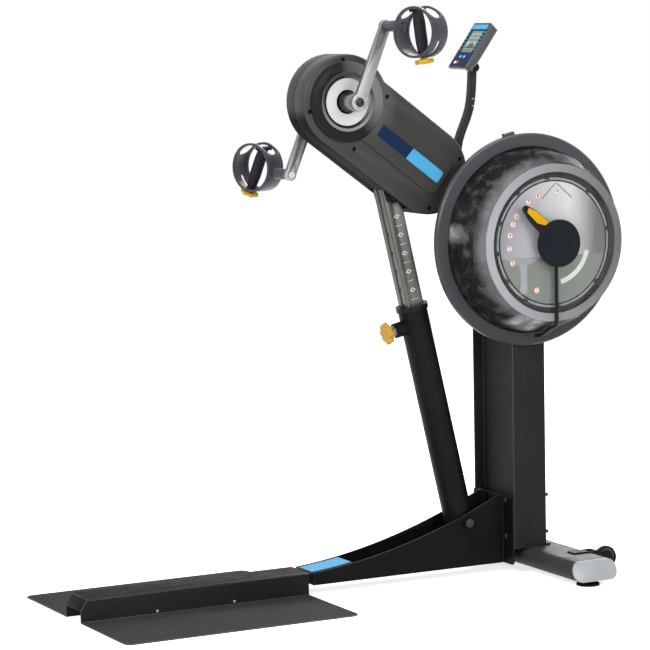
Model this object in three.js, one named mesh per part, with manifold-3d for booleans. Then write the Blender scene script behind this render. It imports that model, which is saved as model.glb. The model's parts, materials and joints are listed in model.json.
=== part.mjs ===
// Arm ergometer: a tread platform and column, a water tank brake with a clear bowl, a tilting belt
// arm with two cranks and cage handles, a telescopic mast that holds the arm, and a small console.
// Millimetres. +X runs from the user to the tank, -Y is the tank side, +Z is up, the floor is at 0.
import * as THREE from 'three';
import { mergeVertices } from 'three/addons/utils/BufferGeometryUtils.js';
import Module from 'manifold-3d';

const wasm = await Module();
wasm.setup();

// Clearances and modelling values
const GAP = 0.3;
const OVERRUN = 4;
const WELD_TOLERANCE = 0.0001;
const ROUND_SIDES = 16;
const FINE_SIDES = 32;
const ARC_STEPS = 4;
const WIDE_ARC_STEPS = 13;
const WELD_LAP = 1;

// Platform: two folded treads and the cover of the beam between them
const PLATFORM_FRONT = -775;
const PLATFORM_LENGTH = 637.5;
const PLATFORM_HALF_WIDTH = 338;
const TREAD_SHEET = 3;
const TREAD_CORNER = 22;
const BEAM_HALF_WIDTH = 50;
const BEAM_WALL_HEIGHT = 57;
const NOSE_HEIGHT = 30;
const NOSE_LENGTH = 18;
const COVER_LEG = 26;

// Base channel: two curved gusset plates with a lid, a floor and a bolted flange
const BASE_SHEET = 4;
const CHANNEL_FRONT = -125;
const CHANNEL_HALF_WIDTH = 52;
const CHANNEL_BOTTOM = 25.5;
const CHANNEL_FRONT_TOP = 58.5;
const GUSSET_TOP = 208.5;
const GUSSET_CREST = 428;
const CURVE_MIDDLE = 151.5;
const CURVE_MIDDLE_HEIGHT = 81;
const CURVE_STEPS = 14;
const LID_END = 22;
const LID_SHEET = 3;
const TONGUE_LENGTH = 60;
const TONGUE_HEIGHT = 24;
const FLANGE_CORNER = 12;

// Column: folded box with two forward walls
const COLUMN_FRONT = 450;
const COLUMN_DEPTH = 98.5;
const COLUMN_HALF_WIDTH = 105;
const WEB_RECESS = 30;
const WEB_TOP = 828;
const WALL_TOP = 985;
const WALL_CORNER = 40;
const COLUMN_PLATE = 6;
const COLUMN_PLATE_LENGTH = 112;

// Rear stabilizer, its caps, levelling feet and transport wheels
const STABILIZER_FRONT = 478;
const STABILIZER_DEPTH = 132;
const STABILIZER_BOTTOM = 17;
const STABILIZER_HEIGHT = 52.5;
const STABILIZER_CORNER = 24;
const STABILIZER_WALL = 3;
const STABILIZER_TOP_HALF = 338;
const STABILIZER_SLANT = 20;
const CAP_THICKNESS = 6;
const FOOT_INSET = 20;
const FOOT_RADIUS = 31;
const FOOT_PAD = 5;
const FOOT_CONE = 11;
const FOOT_NECK_RADIUS = 12;
const FOOT_STUD_RADIUS = 6;
const FOOT_STUD_TOP = 30;
const WHEEL_INSET = 98;
const WHEEL_X = 648;
const WHEEL_Z = 50;
const WHEEL_RADIUS = 30;
const WHEEL_HALF_WIDTH = 11;
const WHEEL_HUB_HALF = 12;
const WHEEL_HUB_RADIUS = 11;
const WHEEL_RIM = 5;
const WHEEL_AXLE_RADIUS = 5;
const BRACKET_SHEET = 4;
const BRACKET_FRONT = 541;
const BRACKET_EYE = 14;

// Brake axis and the arm that tilts about it
const BRAKE_X = 495;
const BRAKE_Z = 895.5;
const ARM_LENGTH = 625;
const ARM_ANGLE = THREE.MathUtils.degToRad(37.1);
const FRAME_SHEET = 6;
const FRAME_INNER = 30;
const FRAME_HALF_HEIGHT = 54;
const FRAME_STRIP = 3;
const STRIP_FRONT_SETBACK = 223;
const STRIP_REAR_SETBACK = 50;
const CROSS_TUBE_RADIUS = 14;
const CROSS_TUBE_FRONT = 170;
const CROSS_TUBE_SETBACK = 155;
const LUG_ALONG = 262.6;
const LUG_DROP = 111.7;
const LUG_RADIUS = 20;
const LUG_ROOT = 46;
const LUG_BUSH_RADIUS = 17;
const HINGE_BOSS_RADIUS = 32;
const HINGE_BOSS_LENGTH = 12;
const STUB_RADIUS = 22;
const STUB_FLANGE_RADIUS = 36;
const STUB_FLANGE = 5;
const STUB_INNER = 27;
const CRANK_BEARING_RADIUS = 27;
const CRANK_BEARING_LENGTH = 10;

// Housing shells round the front of the arm
const DRUM_RADIUS = 122;
const HOUSING_TOP = 106;
const HOUSING_BOTTOM = 119;
const TAIL_SETBACK = 320;
const NEAR_RIM = 54;
const FAR_RIM = 50;
const SHELL_WALL = 3;
const SHELL_BEVEL = 3;
const DISC_RADIUS = 104;
const DISC_HEIGHT = 8;
const DISC_CHAMFER = 5;
const OPENING_RADIUS = 60;
const OPENING_FLARE = 72;
const PLATEAU_TOP = 53;
const PLATEAU_BOTTOM = 55;
const PLATEAU_REACH = 47;
const PLATEAU_HEIGHT = 5;
const PLATEAU_CORNER = 24;
const DRUM_SCREW_ALONG = 71.5;
const DRUM_SCREW_RISE = 81.5;
const WAIST_SCREW_ALONG = 89;
const WAIST_SCREW_RISE = 82;
const TAIL_SCREW_REACH = 57;
const TAIL_SCREW_RISE = 78;
const SCREW_BOSS_START = 15;
const SCREW_BOSS_RADIUS = 8;
const SCREW_RECESS_RADIUS = 6.5;
const SCREW_RECESS_DEPTH = 7;
const MAST_SLOT_RADIUS = 38;
const MAST_SLOT_HALF = 44;
const MAST_SLOT_RUN = 54;
const TRIM_INNER = 31;
const TRIM_LAP = 7;
const TRIM_THICKNESS = 4;

// Crank set
const SHAFT_RADIUS = 10;
const BUSH_RADIUS = 27;
const BUSH_START = 50;
const BUSH_END = 68;
const HUB_RADIUS = 20;
const COLLAR_START = 103;
const CRANK_COLLAR_RADIUS = 23.5;
const CRANK_PLANE = 122;
const CRANK_THICKNESS = 14;
const CRANK_LENGTH = 207;
const CRANK_ANGLE = THREE.MathUtils.degToRad(22.5);
const CRANK_EYE = 23;
const CRANK_TIP = 16;
const CRANK_ROOT_HALF = 16;
const CRANK_TIP_HALF = 14;
const CRANK_GROOVE_HALF = 6;
const CRANK_GROOVE_DEPTH = 3;
const CRANK_GROOVE_MARGIN = 12;
const SQUARE_RADIUS = 11;
const PULLEY_RADIUS = 90;
const PULLEY_HALF_WIDTH = 11;
const PULLEY_RIM = 8;
const PULLEY_WEB_HALF = 3;
const PULLEY_HUB_RADIUS = 24;
const PULLEY_HOLE_RADIUS = 15;
const PULLEY_HOLES = 5;
const BELT_THICKNESS = 3;
const BRAKE_PULLEY_RADIUS = 20;
const PULLEY_FLANGE = 1.5;
const BELT_PLAY = 1.3;

// Handles: spindle, cage ring, tilting grip and clamp knob
const SPINDLE_RADIUS = 6;
const SPINDLE_HEAD_RADIUS = 9;
const SPINDLE_HEAD = 5;
const RING_SIDE = 264;
const RING_FORWARD = 24;
const RING_DROP = 15;
const RING_TOE = THREE.MathUtils.degToRad(22);
const RING_RADIUS = 65;
const RING_WALL = 4.5;
const RING_HALF_WIDTH = 29;
const HOOP_WIDTH = 8;
const HOOP_DEPTH = 6;
const WINDOW_START = THREE.MathUtils.degToRad(32);
const WINDOW_END = THREE.MathUtils.degToRad(148);
const SLOT_START = THREE.MathUtils.degToRad(-97);
const SLOT_END = THREE.MathUtils.degToRad(-20);
const SLOT_HALF = 5.5;
const BOSS_RADIUS = 16;
const BOSS_ROOT_RADIUS = 13;
const BOSS_CLEARANCE = 2;
const DOME_RADIUS = 13.5;
const DOME_REACH = 7;
const DOME_CROWN = 4;
const GRIP_NEAR_TILT = THREE.MathUtils.degToRad(8.7);
const GRIP_FAR_TILT = THREE.MathUtils.degToRad(24.8);
const GRIP_HALF_LENGTH = 52;
const GRIP_RADIUS = 15.5;
const GRIP_END_RADIUS = 13;
const GRIP_SHOE_HALF = 5;
const GRIP_PLAY = 1.3;
const GRIP_STEP = 2;
const SHOE_PLAY = 0.8;
const STUD_RADIUS = 4;
const KNOB_RADIUS = 22;
const KNOB_LOBE = 3;
const KNOB_LOBES = 6;
const KNOB_THICKNESS = 11;
const KNOB_NECK_RADIUS = 10;
const KNOB_NECK = 4;
const KNOB_BEVEL = 2;

// Telescopic mast: lower tube, collar, inner post and pull pin
const MAST_FOOT_X = 339;
const MAST_FOOT_Z = 143.5;
const TUBE_RADIUS = 39;
const TUBE_WALL = 3;
const TUBE_BOTTOM = -42;
const TUBE_TOP = 590;
const FOOT_BOLT_RADIUS = 8;
const FOOT_BOLT_HEAD_RADIUS = 13;
const FOOT_BOLT_HEAD = 8;
const FOOT_BOLT_HEAD_SIDES = 6;
const FOOT_PLAY = 9;
const COLLAR_RADIUS = 43;
const COLLAR_LIP = 13;
const COLLAR_SPIGOT = 16;
const POST_HALF_DEPTH = 24;
const POST_HALF_WIDTH = 27;
const POST_CORNER = 3;
const POST_WALL = 6;
const POST_BOTTOM = 332;
const POST_OVER_PIVOT = 20;
const POST_CAP = 4;
const POST_CAP_BEVEL = 1;
const GROOVE_HALF = 7.5;
const GROOVE_DEPTH = 3;
const EDGE_GROOVE = 2.5;
const HOLE_PITCH = 50;
const HOLE_COUNT = 6;
const HOLE_RADIUS = 5;
const PIN_HEIGHT = 549.7;
const PIN_RADIUS = 6.5;
const PIN_BOSS_RADIUS = 20;
const PIN_BOSS_LENGTH = 26;
const PIN_NOSE_RADIUS = 16;
const PIN_NOSE_LENGTH = 13;
const PIN_NOSE_SIDES = 6;
const PULL_KNOB_RADIUS = 28;
const PULL_KNOB_LOBES = 8;
const PULL_KNOB_LOBE = 2.5;
const PULL_KNOB_THICKNESS = 14;
const PULL_KNOB_STANDOFF = 3;
const PULL_KNOB_BEVEL = 3;
const PIVOT_BOLT_RADIUS = 8;
const PIVOT_HEAD_RADIUS = 12;
const PIVOT_HEAD = 6;

// Water tank
const TANK_SHEET = 5;
const TANK_RADIUS = 280;
const BOWL_FLANGE = 6;
const BOWL_WALL = 4;
const CLAMP_SKIRT = 15;
const CLAMP_FACE = 37;
const CLAMP_LIP = 7;
const FLANGE_PLAY = 2.5;
const CLAMP_ROUND = 4;
const BOWL_PLAY = 1;
const BOWL_DEPTH = 136;
const BOWL_SHOULDER = 52;
const SEAL_OVERLAP = 6;
const SEAL_WIDTH = 21;
const SEAL_THICKNESS = 5;
const FACE_SHEET = 3.5;
const RESERVOIR_SETBACK = 27;
const RESERVOIR_WALL = 3;
const RESERVOIR_DEPTH = 54;
const DIAL_PLATE_SHEET = 2.5;
const DIAL_BOSS_RADIUS = 40;
const DIAL_BOSS_LENGTH = 26;
const DIAL_CAP_RADIUS = 62;
const DIAL_CAP_THICKNESS = 13;
const DIAL_CAP_ROUND = 3;
const DIAL_RECESS = 6;
const LEVER_LENGTH = 147;
const LEVER_ROOT_HALF = 20;
const LEVER_SHOULDER = 112;
const LEVER_SHOULDER_HALF = 16;
const LEVER_TIP_HALF = 9;
const LEVER_THICKNESS = 8;
const LEVER_BEVEL = 1;
const LEVER_ANGLE = THREE.MathUtils.degToRad(137);
const PLUG_ANGLE = THREE.MathUtils.degToRad(101);
const PLUG_HALF = 15;
const PLUG_HEIGHT = 7;
const PIPE_RADIUS = 5;
const PIPE_SIDES = 8;
const PIPE_STEPS = 18;
const ROTOR_SHAFT_RADIUS = 8;
const WALL_BORE_RADIUS = 14;
const IMPELLER_HUB_RADIUS = 28;
const IMPELLER_DISC_RADIUS = 96;
const IMPELLER_DISC = 4;
const IMPELLER_CLEARANCE = 8;
const IMPELLER_BLADES = 6;
const BLADE_INNER = 70;
const BLADE_CLEARANCE = 20;
const BLADE_SWEEP = THREE.MathUtils.degToRad(24);
const BLADE_THICKNESS = 4;

// Console on its curved stem
const CONSOLE_ALONG = 276;
const CONSOLE_RISE = 304;
const CONSOLE_TILT = THREE.MathUtils.degToRad(36);
const STEM_HALF_WIDTH = 15.5;
const STEM_HALF_DEPTH = 5.5;
const STEM_STEPS = 14;
const STEM_FOOT_SETBACK = 223;
const STEM_FOOT_LENGTH = 44;
const STEM_FOOT_SHEET = 5;
const STEM_SHOULDER = 118;
const STEM_BEND_ALONG = 330;
const STEM_BEND_RISE = 216;
const KNUCKLE_RADIUS = 12;
const KNUCKLE_ROOM = 1;
const KNUCKLE_HALF = 7.7;
const KNUCKLE_PIN_RADIUS = 4;
const CONSOLE_FACE_REACH = 40;
const CONSOLE_BACK_REACH = 13;
const CONSOLE_HALF_WIDTH = 47;
const CONSOLE_TOP = 114;
const CONSOLE_BOTTOM = 28;
const CONSOLE_BELLY = 18;
const CONSOLE_CHIN = 3;
const CONSOLE_CORNER = 4;
const FACE_INSET = 1.5;
const FACE_MARGIN = 4;
const SCREEN_HALF_WIDTH = 32;
const SCREEN_BOTTOM = 20;
const SCREEN_TOP = 92;
const SCREEN_SHEET = 1;
const SCREEN_LIP = 1;
const BUTTON_RADIUS = 4.5;
const BUTTON_STAND = 1.6;
const BUTTON_DEPTH = 5;
const BUTTON_SIDES = 14;
const BUTTONS = [
  { name: 'button_up', across: 10, up: 6, colour: 0x5ab9e8 },
  { name: 'button_down', across: -10, up: 6, colour: 0x5ab9e8 },
  { name: 'button_start', across: 20, up: -12, colour: 0xe8e8e8 },
  { name: 'button_reset', across: 7, up: -12, colour: 0xd03028 },
];

// Places worked out from the sizes above
const platformRear = PLATFORM_FRONT + PLATFORM_LENGTH;
const beamTop = BEAM_WALL_HEIGHT + TREAD_SHEET;
const columnRear = COLUMN_FRONT + COLUMN_DEPTH;
const webFront = COLUMN_FRONT + WEB_RECESS;
const stabilizerTop = STABILIZER_BOTTOM + STABILIZER_HEIGHT;
const stabilizerRear = STABILIZER_FRONT + STABILIZER_DEPTH;
const stabilizerMiddle = (STABILIZER_FRONT + stabilizerRear) / 2;
const footSide = STABILIZER_TOP_HALF - FOOT_INSET;
const wheelSide = STABILIZER_TOP_HALF - WHEEL_INSET;
const columnBottom = stabilizerTop + COLUMN_PLATE;
const flangeRear = COLUMN_FRONT - GAP;
const flangeFront = flangeRear - BASE_SHEET;
const gussetInner = CHANNEL_HALF_WIDTH - BASE_SHEET;
const columnInner = COLUMN_HALF_WIDTH - BASE_SHEET;
const frameOuter = FRAME_INNER + FRAME_SHEET;
const housingTail = ARM_LENGTH - TAIL_SETBACK;
const plateauEnd = housingTail + PLATEAU_REACH;
const tailMiddle = (HOUSING_TOP - HOUSING_BOTTOM) / 2;
const stemFoot = ARM_LENGTH - STEM_FOOT_SETBACK;
const crankX = BRAKE_X - ARM_LENGTH * Math.cos(ARM_ANGLE);
const crankZ = BRAKE_Z + ARM_LENGTH * Math.sin(ARM_ANGLE);
const tankBackRadius = TANK_RADIUS - CLAMP_SKIRT;
const bowlFlangeRadius = tankBackRadius - FLANGE_PLAY;
const clampInner = TANK_RADIUS - CLAMP_FACE;
const bowlRadius = clampInner - BOWL_PLAY;
const faceRadius = bowlRadius - BOWL_SHOULDER;
const sealInner = faceRadius - SEAL_OVERLAP;
const sealOuter = sealInner + SEAL_WIDTH;
const reservoirRadius = faceRadius - RESERVOIR_SETBACK;
const bladeOuter = bowlRadius - BLADE_CLEARANCE;
const tankBack = COLUMN_HALF_WIDTH + GAP;
const tankPlateFront = tankBack + TANK_SHEET;
const bowlBack = tankPlateFront + GAP;
const bowlFront = bowlBack + BOWL_DEPTH;
const clampFront = bowlBack + BOWL_FLANGE + GAP + CLAMP_LIP;
const faceBack = bowlFront - FACE_SHEET;
const reservoirFront = faceBack - GAP;
const reservoirBack = reservoirFront - RESERVOIR_DEPTH;
const sealBack = bowlFront + GAP;
const dialCapBack = sealBack + DIAL_BOSS_LENGTH - DIAL_RECESS;
const crankOuter = CRANK_PLANE + CRANK_THICKNESS / 2;
const crankInner = CRANK_PLANE - CRANK_THICKNESS / 2;

// World place of a point given along and above the arm's centre line
function armPoint(along, rise) {
  const x = crankX + along * Math.cos(ARM_ANGLE) + rise * Math.sin(ARM_ANGLE);
  const z = crankZ - along * Math.sin(ARM_ANGLE) + rise * Math.cos(ARM_ANGLE);
  return new THREE.Vector2(x, z);
}

const lug = armPoint(LUG_ALONG, -LUG_DROP);
const mastRun = MAST_FOOT_X - lug.x;
const mastRise = lug.y - MAST_FOOT_Z;
const mastLength = Math.hypot(mastRun, mastRise);
const mastLean = Math.atan2(mastRun, mastRise);
const postTop = mastLength + POST_OVER_PIVOT;

// Finishes
function finish(colour, roughness, metalness) {
  return new THREE.MeshStandardMaterial({ color: colour, roughness, metalness });
}

const blackSteel = finish(0x1b1b1c, 0.5, 0.3);
const treadBlack = finish(0x3a3a3c, 0.85, 0.1);
const shellGrey = finish(0x35342f, 0.5, 0);
const ringGrey = finish(0x4a4a50, 0.5, 0);
const cageGrey = finish(0x41414b, 0.55, 0);
const gripBlack = finish(0x232327, 0.8, 0);
const silver = finish(0x9a9a98, 0.35, 0.9);
const capSilver = finish(0xb0b1b2, 0.45, 0.4);
const yellow = finish(0xdcaa32, 0.5, 0);
const blackPlastic = finish(0x141414, 0.4, 0);
const dialBlack = finish(0x1d2226, 0.6, 0);
const white = finish(0xdddddd, 0.5, 0);
const frosted = finish(0xa8aab0, 0.5, 0);
const navy = finish(0x1c2c48, 0.4, 0);
const screenGreen = finish(0x7c9a84, 0.3, 0);
const rubber = finish(0x111111, 0.9, 0);
const clear = new THREE.MeshStandardMaterial({
  color: 0x9fa4aa,
  roughness: 0.1,
  metalness: 0,
  transparent: true,
  opacity: 0.35,
});

// Solids
function signedVolume(position, index) {
  const a = new THREE.Vector3();
  const b = new THREE.Vector3();
  const c = new THREE.Vector3();
  let total = 0;
  for (let corner = 0; corner < index.length; corner += 3) {
    a.fromBufferAttribute(position, index[corner]);
    b.fromBufferAttribute(position, index[corner + 1]);
    c.fromBufferAttribute(position, index[corner + 2]);
    total += a.dot(b.cross(c));
  }
  return total;
}

function weld(source) {
  const bare = source.clone();
  bare.deleteAttribute('normal');
  bare.deleteAttribute('uv');
  const joined = mergeVertices(bare, WELD_TOLERANCE);
  const corners = joined.index.array;
  const kept = [];
  for (let corner = 0; corner < corners.length; corner += 3) {
    const a = corners[corner];
    const b = corners[corner + 1];
    const c = corners[corner + 2];
    if (a !== b && b !== c && c !== a) {
      kept.push(a, b, c);
    }
  }
  const inward = signedVolume(joined.attributes.position, kept) < 0;
  const solid = new THREE.BufferGeometry();
  solid.setAttribute('position', joined.attributes.position);
  solid.setIndex(inward ? kept.reverse() : kept);
  return solid;
}

function toManifold(geometry) {
  const solid = weld(geometry);
  const mesh = new wasm.Mesh({
    numProp: 3,
    vertProperties: new Float32Array(solid.attributes.position.array),
    triVerts: new Uint32Array(solid.index.array),
  });
  return new wasm.Manifold(mesh);
}

function fromManifold(body) {
  const mesh = body.getMesh();
  const geometry = new THREE.BufferGeometry();
  geometry.setAttribute('position', new THREE.BufferAttribute(new Float32Array(mesh.vertProperties), 3));
  geometry.setIndex(Array.from(mesh.triVerts));
  return geometry;
}

function join(...geometries) {
  const bodies = geometries.map(toManifold);
  return fromManifold(bodies.reduce((whole, body) => whole.add(body)));
}

function cut(geometry, ...tools) {
  const bodies = tools.map(toManifold);
  return fromManifold(bodies.reduce((whole, body) => whole.subtract(body), toManifold(geometry)));
}

function common(first, second) {
  return fromManifold(toManifold(first).intersect(toManifold(second)));
}

function point(x, y, z) {
  return new THREE.Vector3(x, y, z);
}

// A box between two corners
function box(low, high) {
  const size = high.clone().sub(low);
  const middle = high.clone().add(low).divideScalar(2);
  return new THREE.BoxGeometry(size.x, size.y, size.z).translate(middle.x, middle.y, middle.z);
}

// A round bar or cone between two points
function rod(radius, start, end, sides = ROUND_SIDES, endRadius = radius) {
  const span = end.clone().sub(start);
  const middle = end.clone().add(start).divideScalar(2);
  const turn = new THREE.Quaternion().setFromUnitVectors(point(0, 1, 0), span.clone().normalize());
  const bar = new THREE.CylinderGeometry(endRadius, radius, span.length(), sides);
  return bar.applyQuaternion(turn).translate(middle.x, middle.y, middle.z);
}

// A round bar across the machine, along Y
function crossRod(radius, x, z, from, to, sides = ROUND_SIDES, endRadius = radius) {
  return rod(radius, point(x, from, z), point(x, to, z), sides, endRadius);
}

// Radius of a many-sided hole whose flats clear a round bar of the given radius
function boreFor(radius, sides = ROUND_SIDES) {
  return (radius + GAP) / Math.cos(Math.PI / sides);
}

function extruded(shape, depth, bevel = 0, arcSteps = ARC_STEPS) {
  return new THREE.ExtrudeGeometry(shape, {
    depth: depth - 2 * bevel,
    curveSegments: arcSteps,
    bevelEnabled: bevel > 0,
    bevelThickness: bevel,
    bevelSize: bevel,
    bevelOffset: -bevel,
    bevelSegments: 1,
  }).translate(0, 0, bevel);
}

// A plate drawn in X and Z, between two places across the machine
function sidePlate(shape, from, to, bevel = 0, arcSteps = ARC_STEPS) {
  return extruded(shape, to - from, bevel, arcSteps).rotateX(Math.PI / 2).translate(0, to, 0);
}

// A plate drawn in X and Y, between two heights
function floorPlate(shape, from, to, bevel = 0) {
  return extruded(shape, to - from, bevel).translate(0, 0, from);
}

// A plate drawn in Y and Z, between two places along the machine
function crossPlate(shape, from, to, bevel = 0) {
  const turn = new THREE.Matrix4().makeBasis(point(0, 1, 0), point(0, 0, 1), point(1, 0, 0));
  return extruded(shape, to - from, bevel).applyMatrix4(turn).translate(from, 0, 0);
}

function polygon(corners) {
  return new THREE.Shape(corners.map(([x, y]) => new THREE.Vector2(x, y)));
}

function roundedRect(left, right, low, high, radius) {
  const shape = new THREE.Shape();
  shape.moveTo(left + radius, low);
  shape.absarc(right - radius, low + radius, radius, -Math.PI / 2, 0, false);
  shape.absarc(right - radius, high - radius, radius, 0, Math.PI / 2, false);
  shape.absarc(left + radius, high - radius, radius, Math.PI / 2, Math.PI, false);
  shape.absarc(left + radius, low + radius, radius, Math.PI, (3 * Math.PI) / 2, false);
  return shape;
}

// A turned body about Y from radius and distance pairs
function turned(profile, sides = FINE_SIDES) {
  return new THREE.LatheGeometry(profile.map(([radius, along]) => new THREE.Vector2(radius, along)), sides);
}

// A turned body whose profile closes on itself away from the axis
function turnedRing(profile, sides = FINE_SIDES) {
  return turned([...profile, profile[0]], sides);
}

// A round outline with rounded lobes
function lobedOutline(radius, lobe, lobes) {
  const steps = lobes * ARC_STEPS;
  const corners = [];
  for (let step = 0; step < steps; step += 1) {
    const angle = (step / steps) * 2 * Math.PI;
    const reach = radius + lobe * Math.cos(lobes * angle);
    corners.push([reach * Math.cos(angle), reach * Math.sin(angle)]);
  }
  return polygon(corners);
}

// The outline of a loop round two circles whose centres lie on one line
function loopOutline(firstRadius, secondRadius, distance, steps) {
  const lean = Math.acos((firstRadius - secondRadius) / distance);
  const corners = [];
  for (let step = 0; step <= steps; step += 1) {
    const angle = lean + (step / steps) * 2 * (Math.PI - lean);
    corners.push([firstRadius * Math.cos(angle), firstRadius * Math.sin(angle)]);
  }
  for (let step = 0; step <= steps; step += 1) {
    const angle = -lean + (step / steps) * 2 * lean;
    corners.push([distance + secondRadius * Math.cos(angle), secondRadius * Math.sin(angle)]);
  }
  return polygon(corners);
}

function mirrorAcross(geometry) {
  return weld(geometry.clone().scale(1, -1, 1));
}

function add(parent, name, geometry, material) {
  const solid = weld(geometry);
  solid.computeVertexNormals();
  const mesh = new THREE.Mesh(solid, material);
  mesh.name = name;
  parent.add(mesh);
}

const machine = new THREE.Group();

// Platform
function beamWallOutline() {
  return polygon([
    [PLATFORM_FRONT, 0],
    [platformRear, 0],
    [platformRear, BEAM_WALL_HEIGHT],
    [PLATFORM_FRONT + NOSE_LENGTH, BEAM_WALL_HEIGHT],
    [PLATFORM_FRONT, NOSE_HEIGHT],
  ]);
}

function tread() {
  const inner = -BEAM_HALF_WIDTH;
  const outline = new THREE.Shape();
  outline.moveTo(PLATFORM_FRONT, inner);
  outline.lineTo(PLATFORM_FRONT, -PLATFORM_HALF_WIDTH + TREAD_CORNER);
  const frontCorner = PLATFORM_FRONT + TREAD_CORNER;
  const rearCorner = platformRear - TREAD_CORNER;
  const outerCorner = -PLATFORM_HALF_WIDTH + TREAD_CORNER;
  outline.absarc(frontCorner, outerCorner, TREAD_CORNER, Math.PI, (3 * Math.PI) / 2, false);
  outline.absarc(rearCorner, outerCorner, TREAD_CORNER, (3 * Math.PI) / 2, 2 * Math.PI, false);
  outline.lineTo(platformRear, inner);
  outline.lineTo(platformRear, inner + TREAD_SHEET);
  outline.lineTo(PLATFORM_FRONT, inner + TREAD_SHEET);
  const plate = floorPlate(outline, 0, TREAD_SHEET);
  const wall = sidePlate(beamWallOutline(), inner, inner + TREAD_SHEET);
  return join(plate, wall);
}

function beamCover() {
  const legTop = BEAM_WALL_HEIGHT;
  const legBottom = BEAM_WALL_HEIGHT - COVER_LEG;
  const legOuter = BEAM_HALF_WIDTH - TREAD_SHEET - GAP;
  const noseTop = PLATFORM_FRONT + NOSE_LENGTH;
  const noseSlope = NOSE_LENGTH / (BEAM_WALL_HEIGHT - NOSE_HEIGHT);
  const noseBottom = noseTop - COVER_LEG * noseSlope;
  const top = box(point(noseTop, -BEAM_HALF_WIDTH, legTop), point(platformRear, BEAM_HALF_WIDTH, beamTop));
  const legs = sidePlate(
    polygon([
      [noseTop, beamTop],
      [platformRear, beamTop],
      [platformRear, legBottom],
      [noseBottom, legBottom],
    ]),
    -legOuter,
    legOuter,
  );
  const legInner = legOuter - TREAD_SHEET;
  const insideTop = beamTop - TREAD_SHEET;
  const inside = sidePlate(
    polygon([
      [noseTop + TREAD_SHEET, insideTop],
      [platformRear + OVERRUN, insideTop],
      [platformRear + OVERRUN, legBottom - OVERRUN],
      [noseBottom + TREAD_SHEET - OVERRUN * noseSlope, legBottom - OVERRUN],
    ]),
    -legInner,
    legInner,
  );
  return cut(join(top, legs), inside);
}

add(machine, 'platform_near', tread(), treadBlack);
add(machine, 'platform_far', mirrorAcross(tread()), treadBlack);
add(machine, 'platform_cover', beamCover(), treadBlack);

// Base channel
function gussetCurve() {
  return new THREE.QuadraticBezierCurve(
    new THREE.Vector2(CHANNEL_FRONT, CHANNEL_FRONT_TOP),
    new THREE.Vector2(CURVE_MIDDLE, CURVE_MIDDLE_HEIGHT),
    new THREE.Vector2(GUSSET_CREST, GUSSET_TOP),
  );
}

function gussetOutline() {
  const shape = new THREE.Shape(gussetCurve().getPoints(CURVE_STEPS));
  shape.lineTo(flangeRear, GUSSET_TOP);
  shape.lineTo(flangeRear, CHANNEL_BOTTOM);
  shape.lineTo(CHANNEL_FRONT, CHANNEL_BOTTOM);
  return shape;
}

function lidOutline() {
  const upper = gussetCurve().getPoints(CURVE_STEPS).filter((corner) => corner.x < LID_END);
  const lower = upper.map((corner) => new THREE.Vector2(corner.x, corner.y - LID_SHEET)).reverse();
  return new THREE.Shape([...upper, ...lower]);
}

function baseChannel() {
  const gusset = sidePlate(gussetOutline(), gussetInner, CHANNEL_HALF_WIDTH);
  const floorTop = CHANNEL_BOTTOM + BASE_SHEET;
  const floor = box(
    point(CHANNEL_FRONT, -CHANNEL_HALF_WIDTH, CHANNEL_BOTTOM),
    point(flangeRear, CHANNEL_HALF_WIDTH, floorTop),
  );
  const end = box(
    point(CHANNEL_FRONT, -CHANNEL_HALF_WIDTH, CHANNEL_BOTTOM),
    point(CHANNEL_FRONT + BASE_SHEET, CHANNEL_HALF_WIDTH, CHANNEL_FRONT_TOP),
  );
  const lid = sidePlate(lidOutline(), -CHANNEL_HALF_WIDTH, CHANNEL_HALF_WIDTH);
  const flangeWidth = COLUMN_HALF_WIDTH;
  const flange = crossPlate(
    roundedRect(-flangeWidth, flangeWidth, CHANNEL_BOTTOM, GUSSET_TOP, FLANGE_CORNER),
    flangeFront,
    flangeRear,
  );
  const tongueHalf = BEAM_HALF_WIDTH - 2 * TREAD_SHEET - 2 * GAP;
  const tongueTop = BEAM_WALL_HEIGHT - GAP;
  const tongue = box(
    point(platformRear - TONGUE_LENGTH, -tongueHalf, tongueTop - TONGUE_HEIGHT),
    point(CHANNEL_FRONT + BASE_SHEET, tongueHalf, tongueTop),
  );
  const boltHole = crossRod(
    boreFor(FOOT_BOLT_RADIUS),
    MAST_FOOT_X,
    MAST_FOOT_Z,
    -CHANNEL_HALF_WIDTH - OVERRUN,
    CHANNEL_HALF_WIDTH + OVERRUN,
  );
  return cut(join(gusset, mirrorAcross(gusset), floor, end, lid, flange, tongue), boltHole);
}

add(machine, 'base_channel', baseChannel(), blackSteel);

// Column
function columnBody() {
  const outer = COLUMN_HALF_WIDTH;
  const high = WEB_TOP;
  const block = box(point(COLUMN_FRONT, -outer, columnBottom), point(columnRear, outer, high));
  const recess = box(
    point(COLUMN_FRONT - OVERRUN, -columnInner, columnBottom - OVERRUN),
    point(webFront, columnInner, high + OVERRUN),
  );
  const cell = box(
    point(webFront + BASE_SHEET, -columnInner, columnBottom - OVERRUN),
    point(columnRear - BASE_SHEET, columnInner, high + OVERRUN),
  );
  return cut(block, recess, cell);
}

// Welded hinge stubs between the column walls carry the arm, and the brake shaft runs through them
function hingeStub() {
  return turnedRing([
    [boreFor(ROTOR_SHAFT_RADIUS), STUB_INNER],
    [STUB_RADIUS, STUB_INNER],
    [STUB_RADIUS, columnInner - STUB_FLANGE],
    [STUB_FLANGE_RADIUS, columnInner - STUB_FLANGE],
    [STUB_FLANGE_RADIUS, columnInner + BASE_SHEET / 2],
    [boreFor(ROTOR_SHAFT_RADIUS), columnInner + BASE_SHEET / 2],
  ], ROUND_SIDES).translate(BRAKE_X, 0, BRAKE_Z);
}

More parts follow.
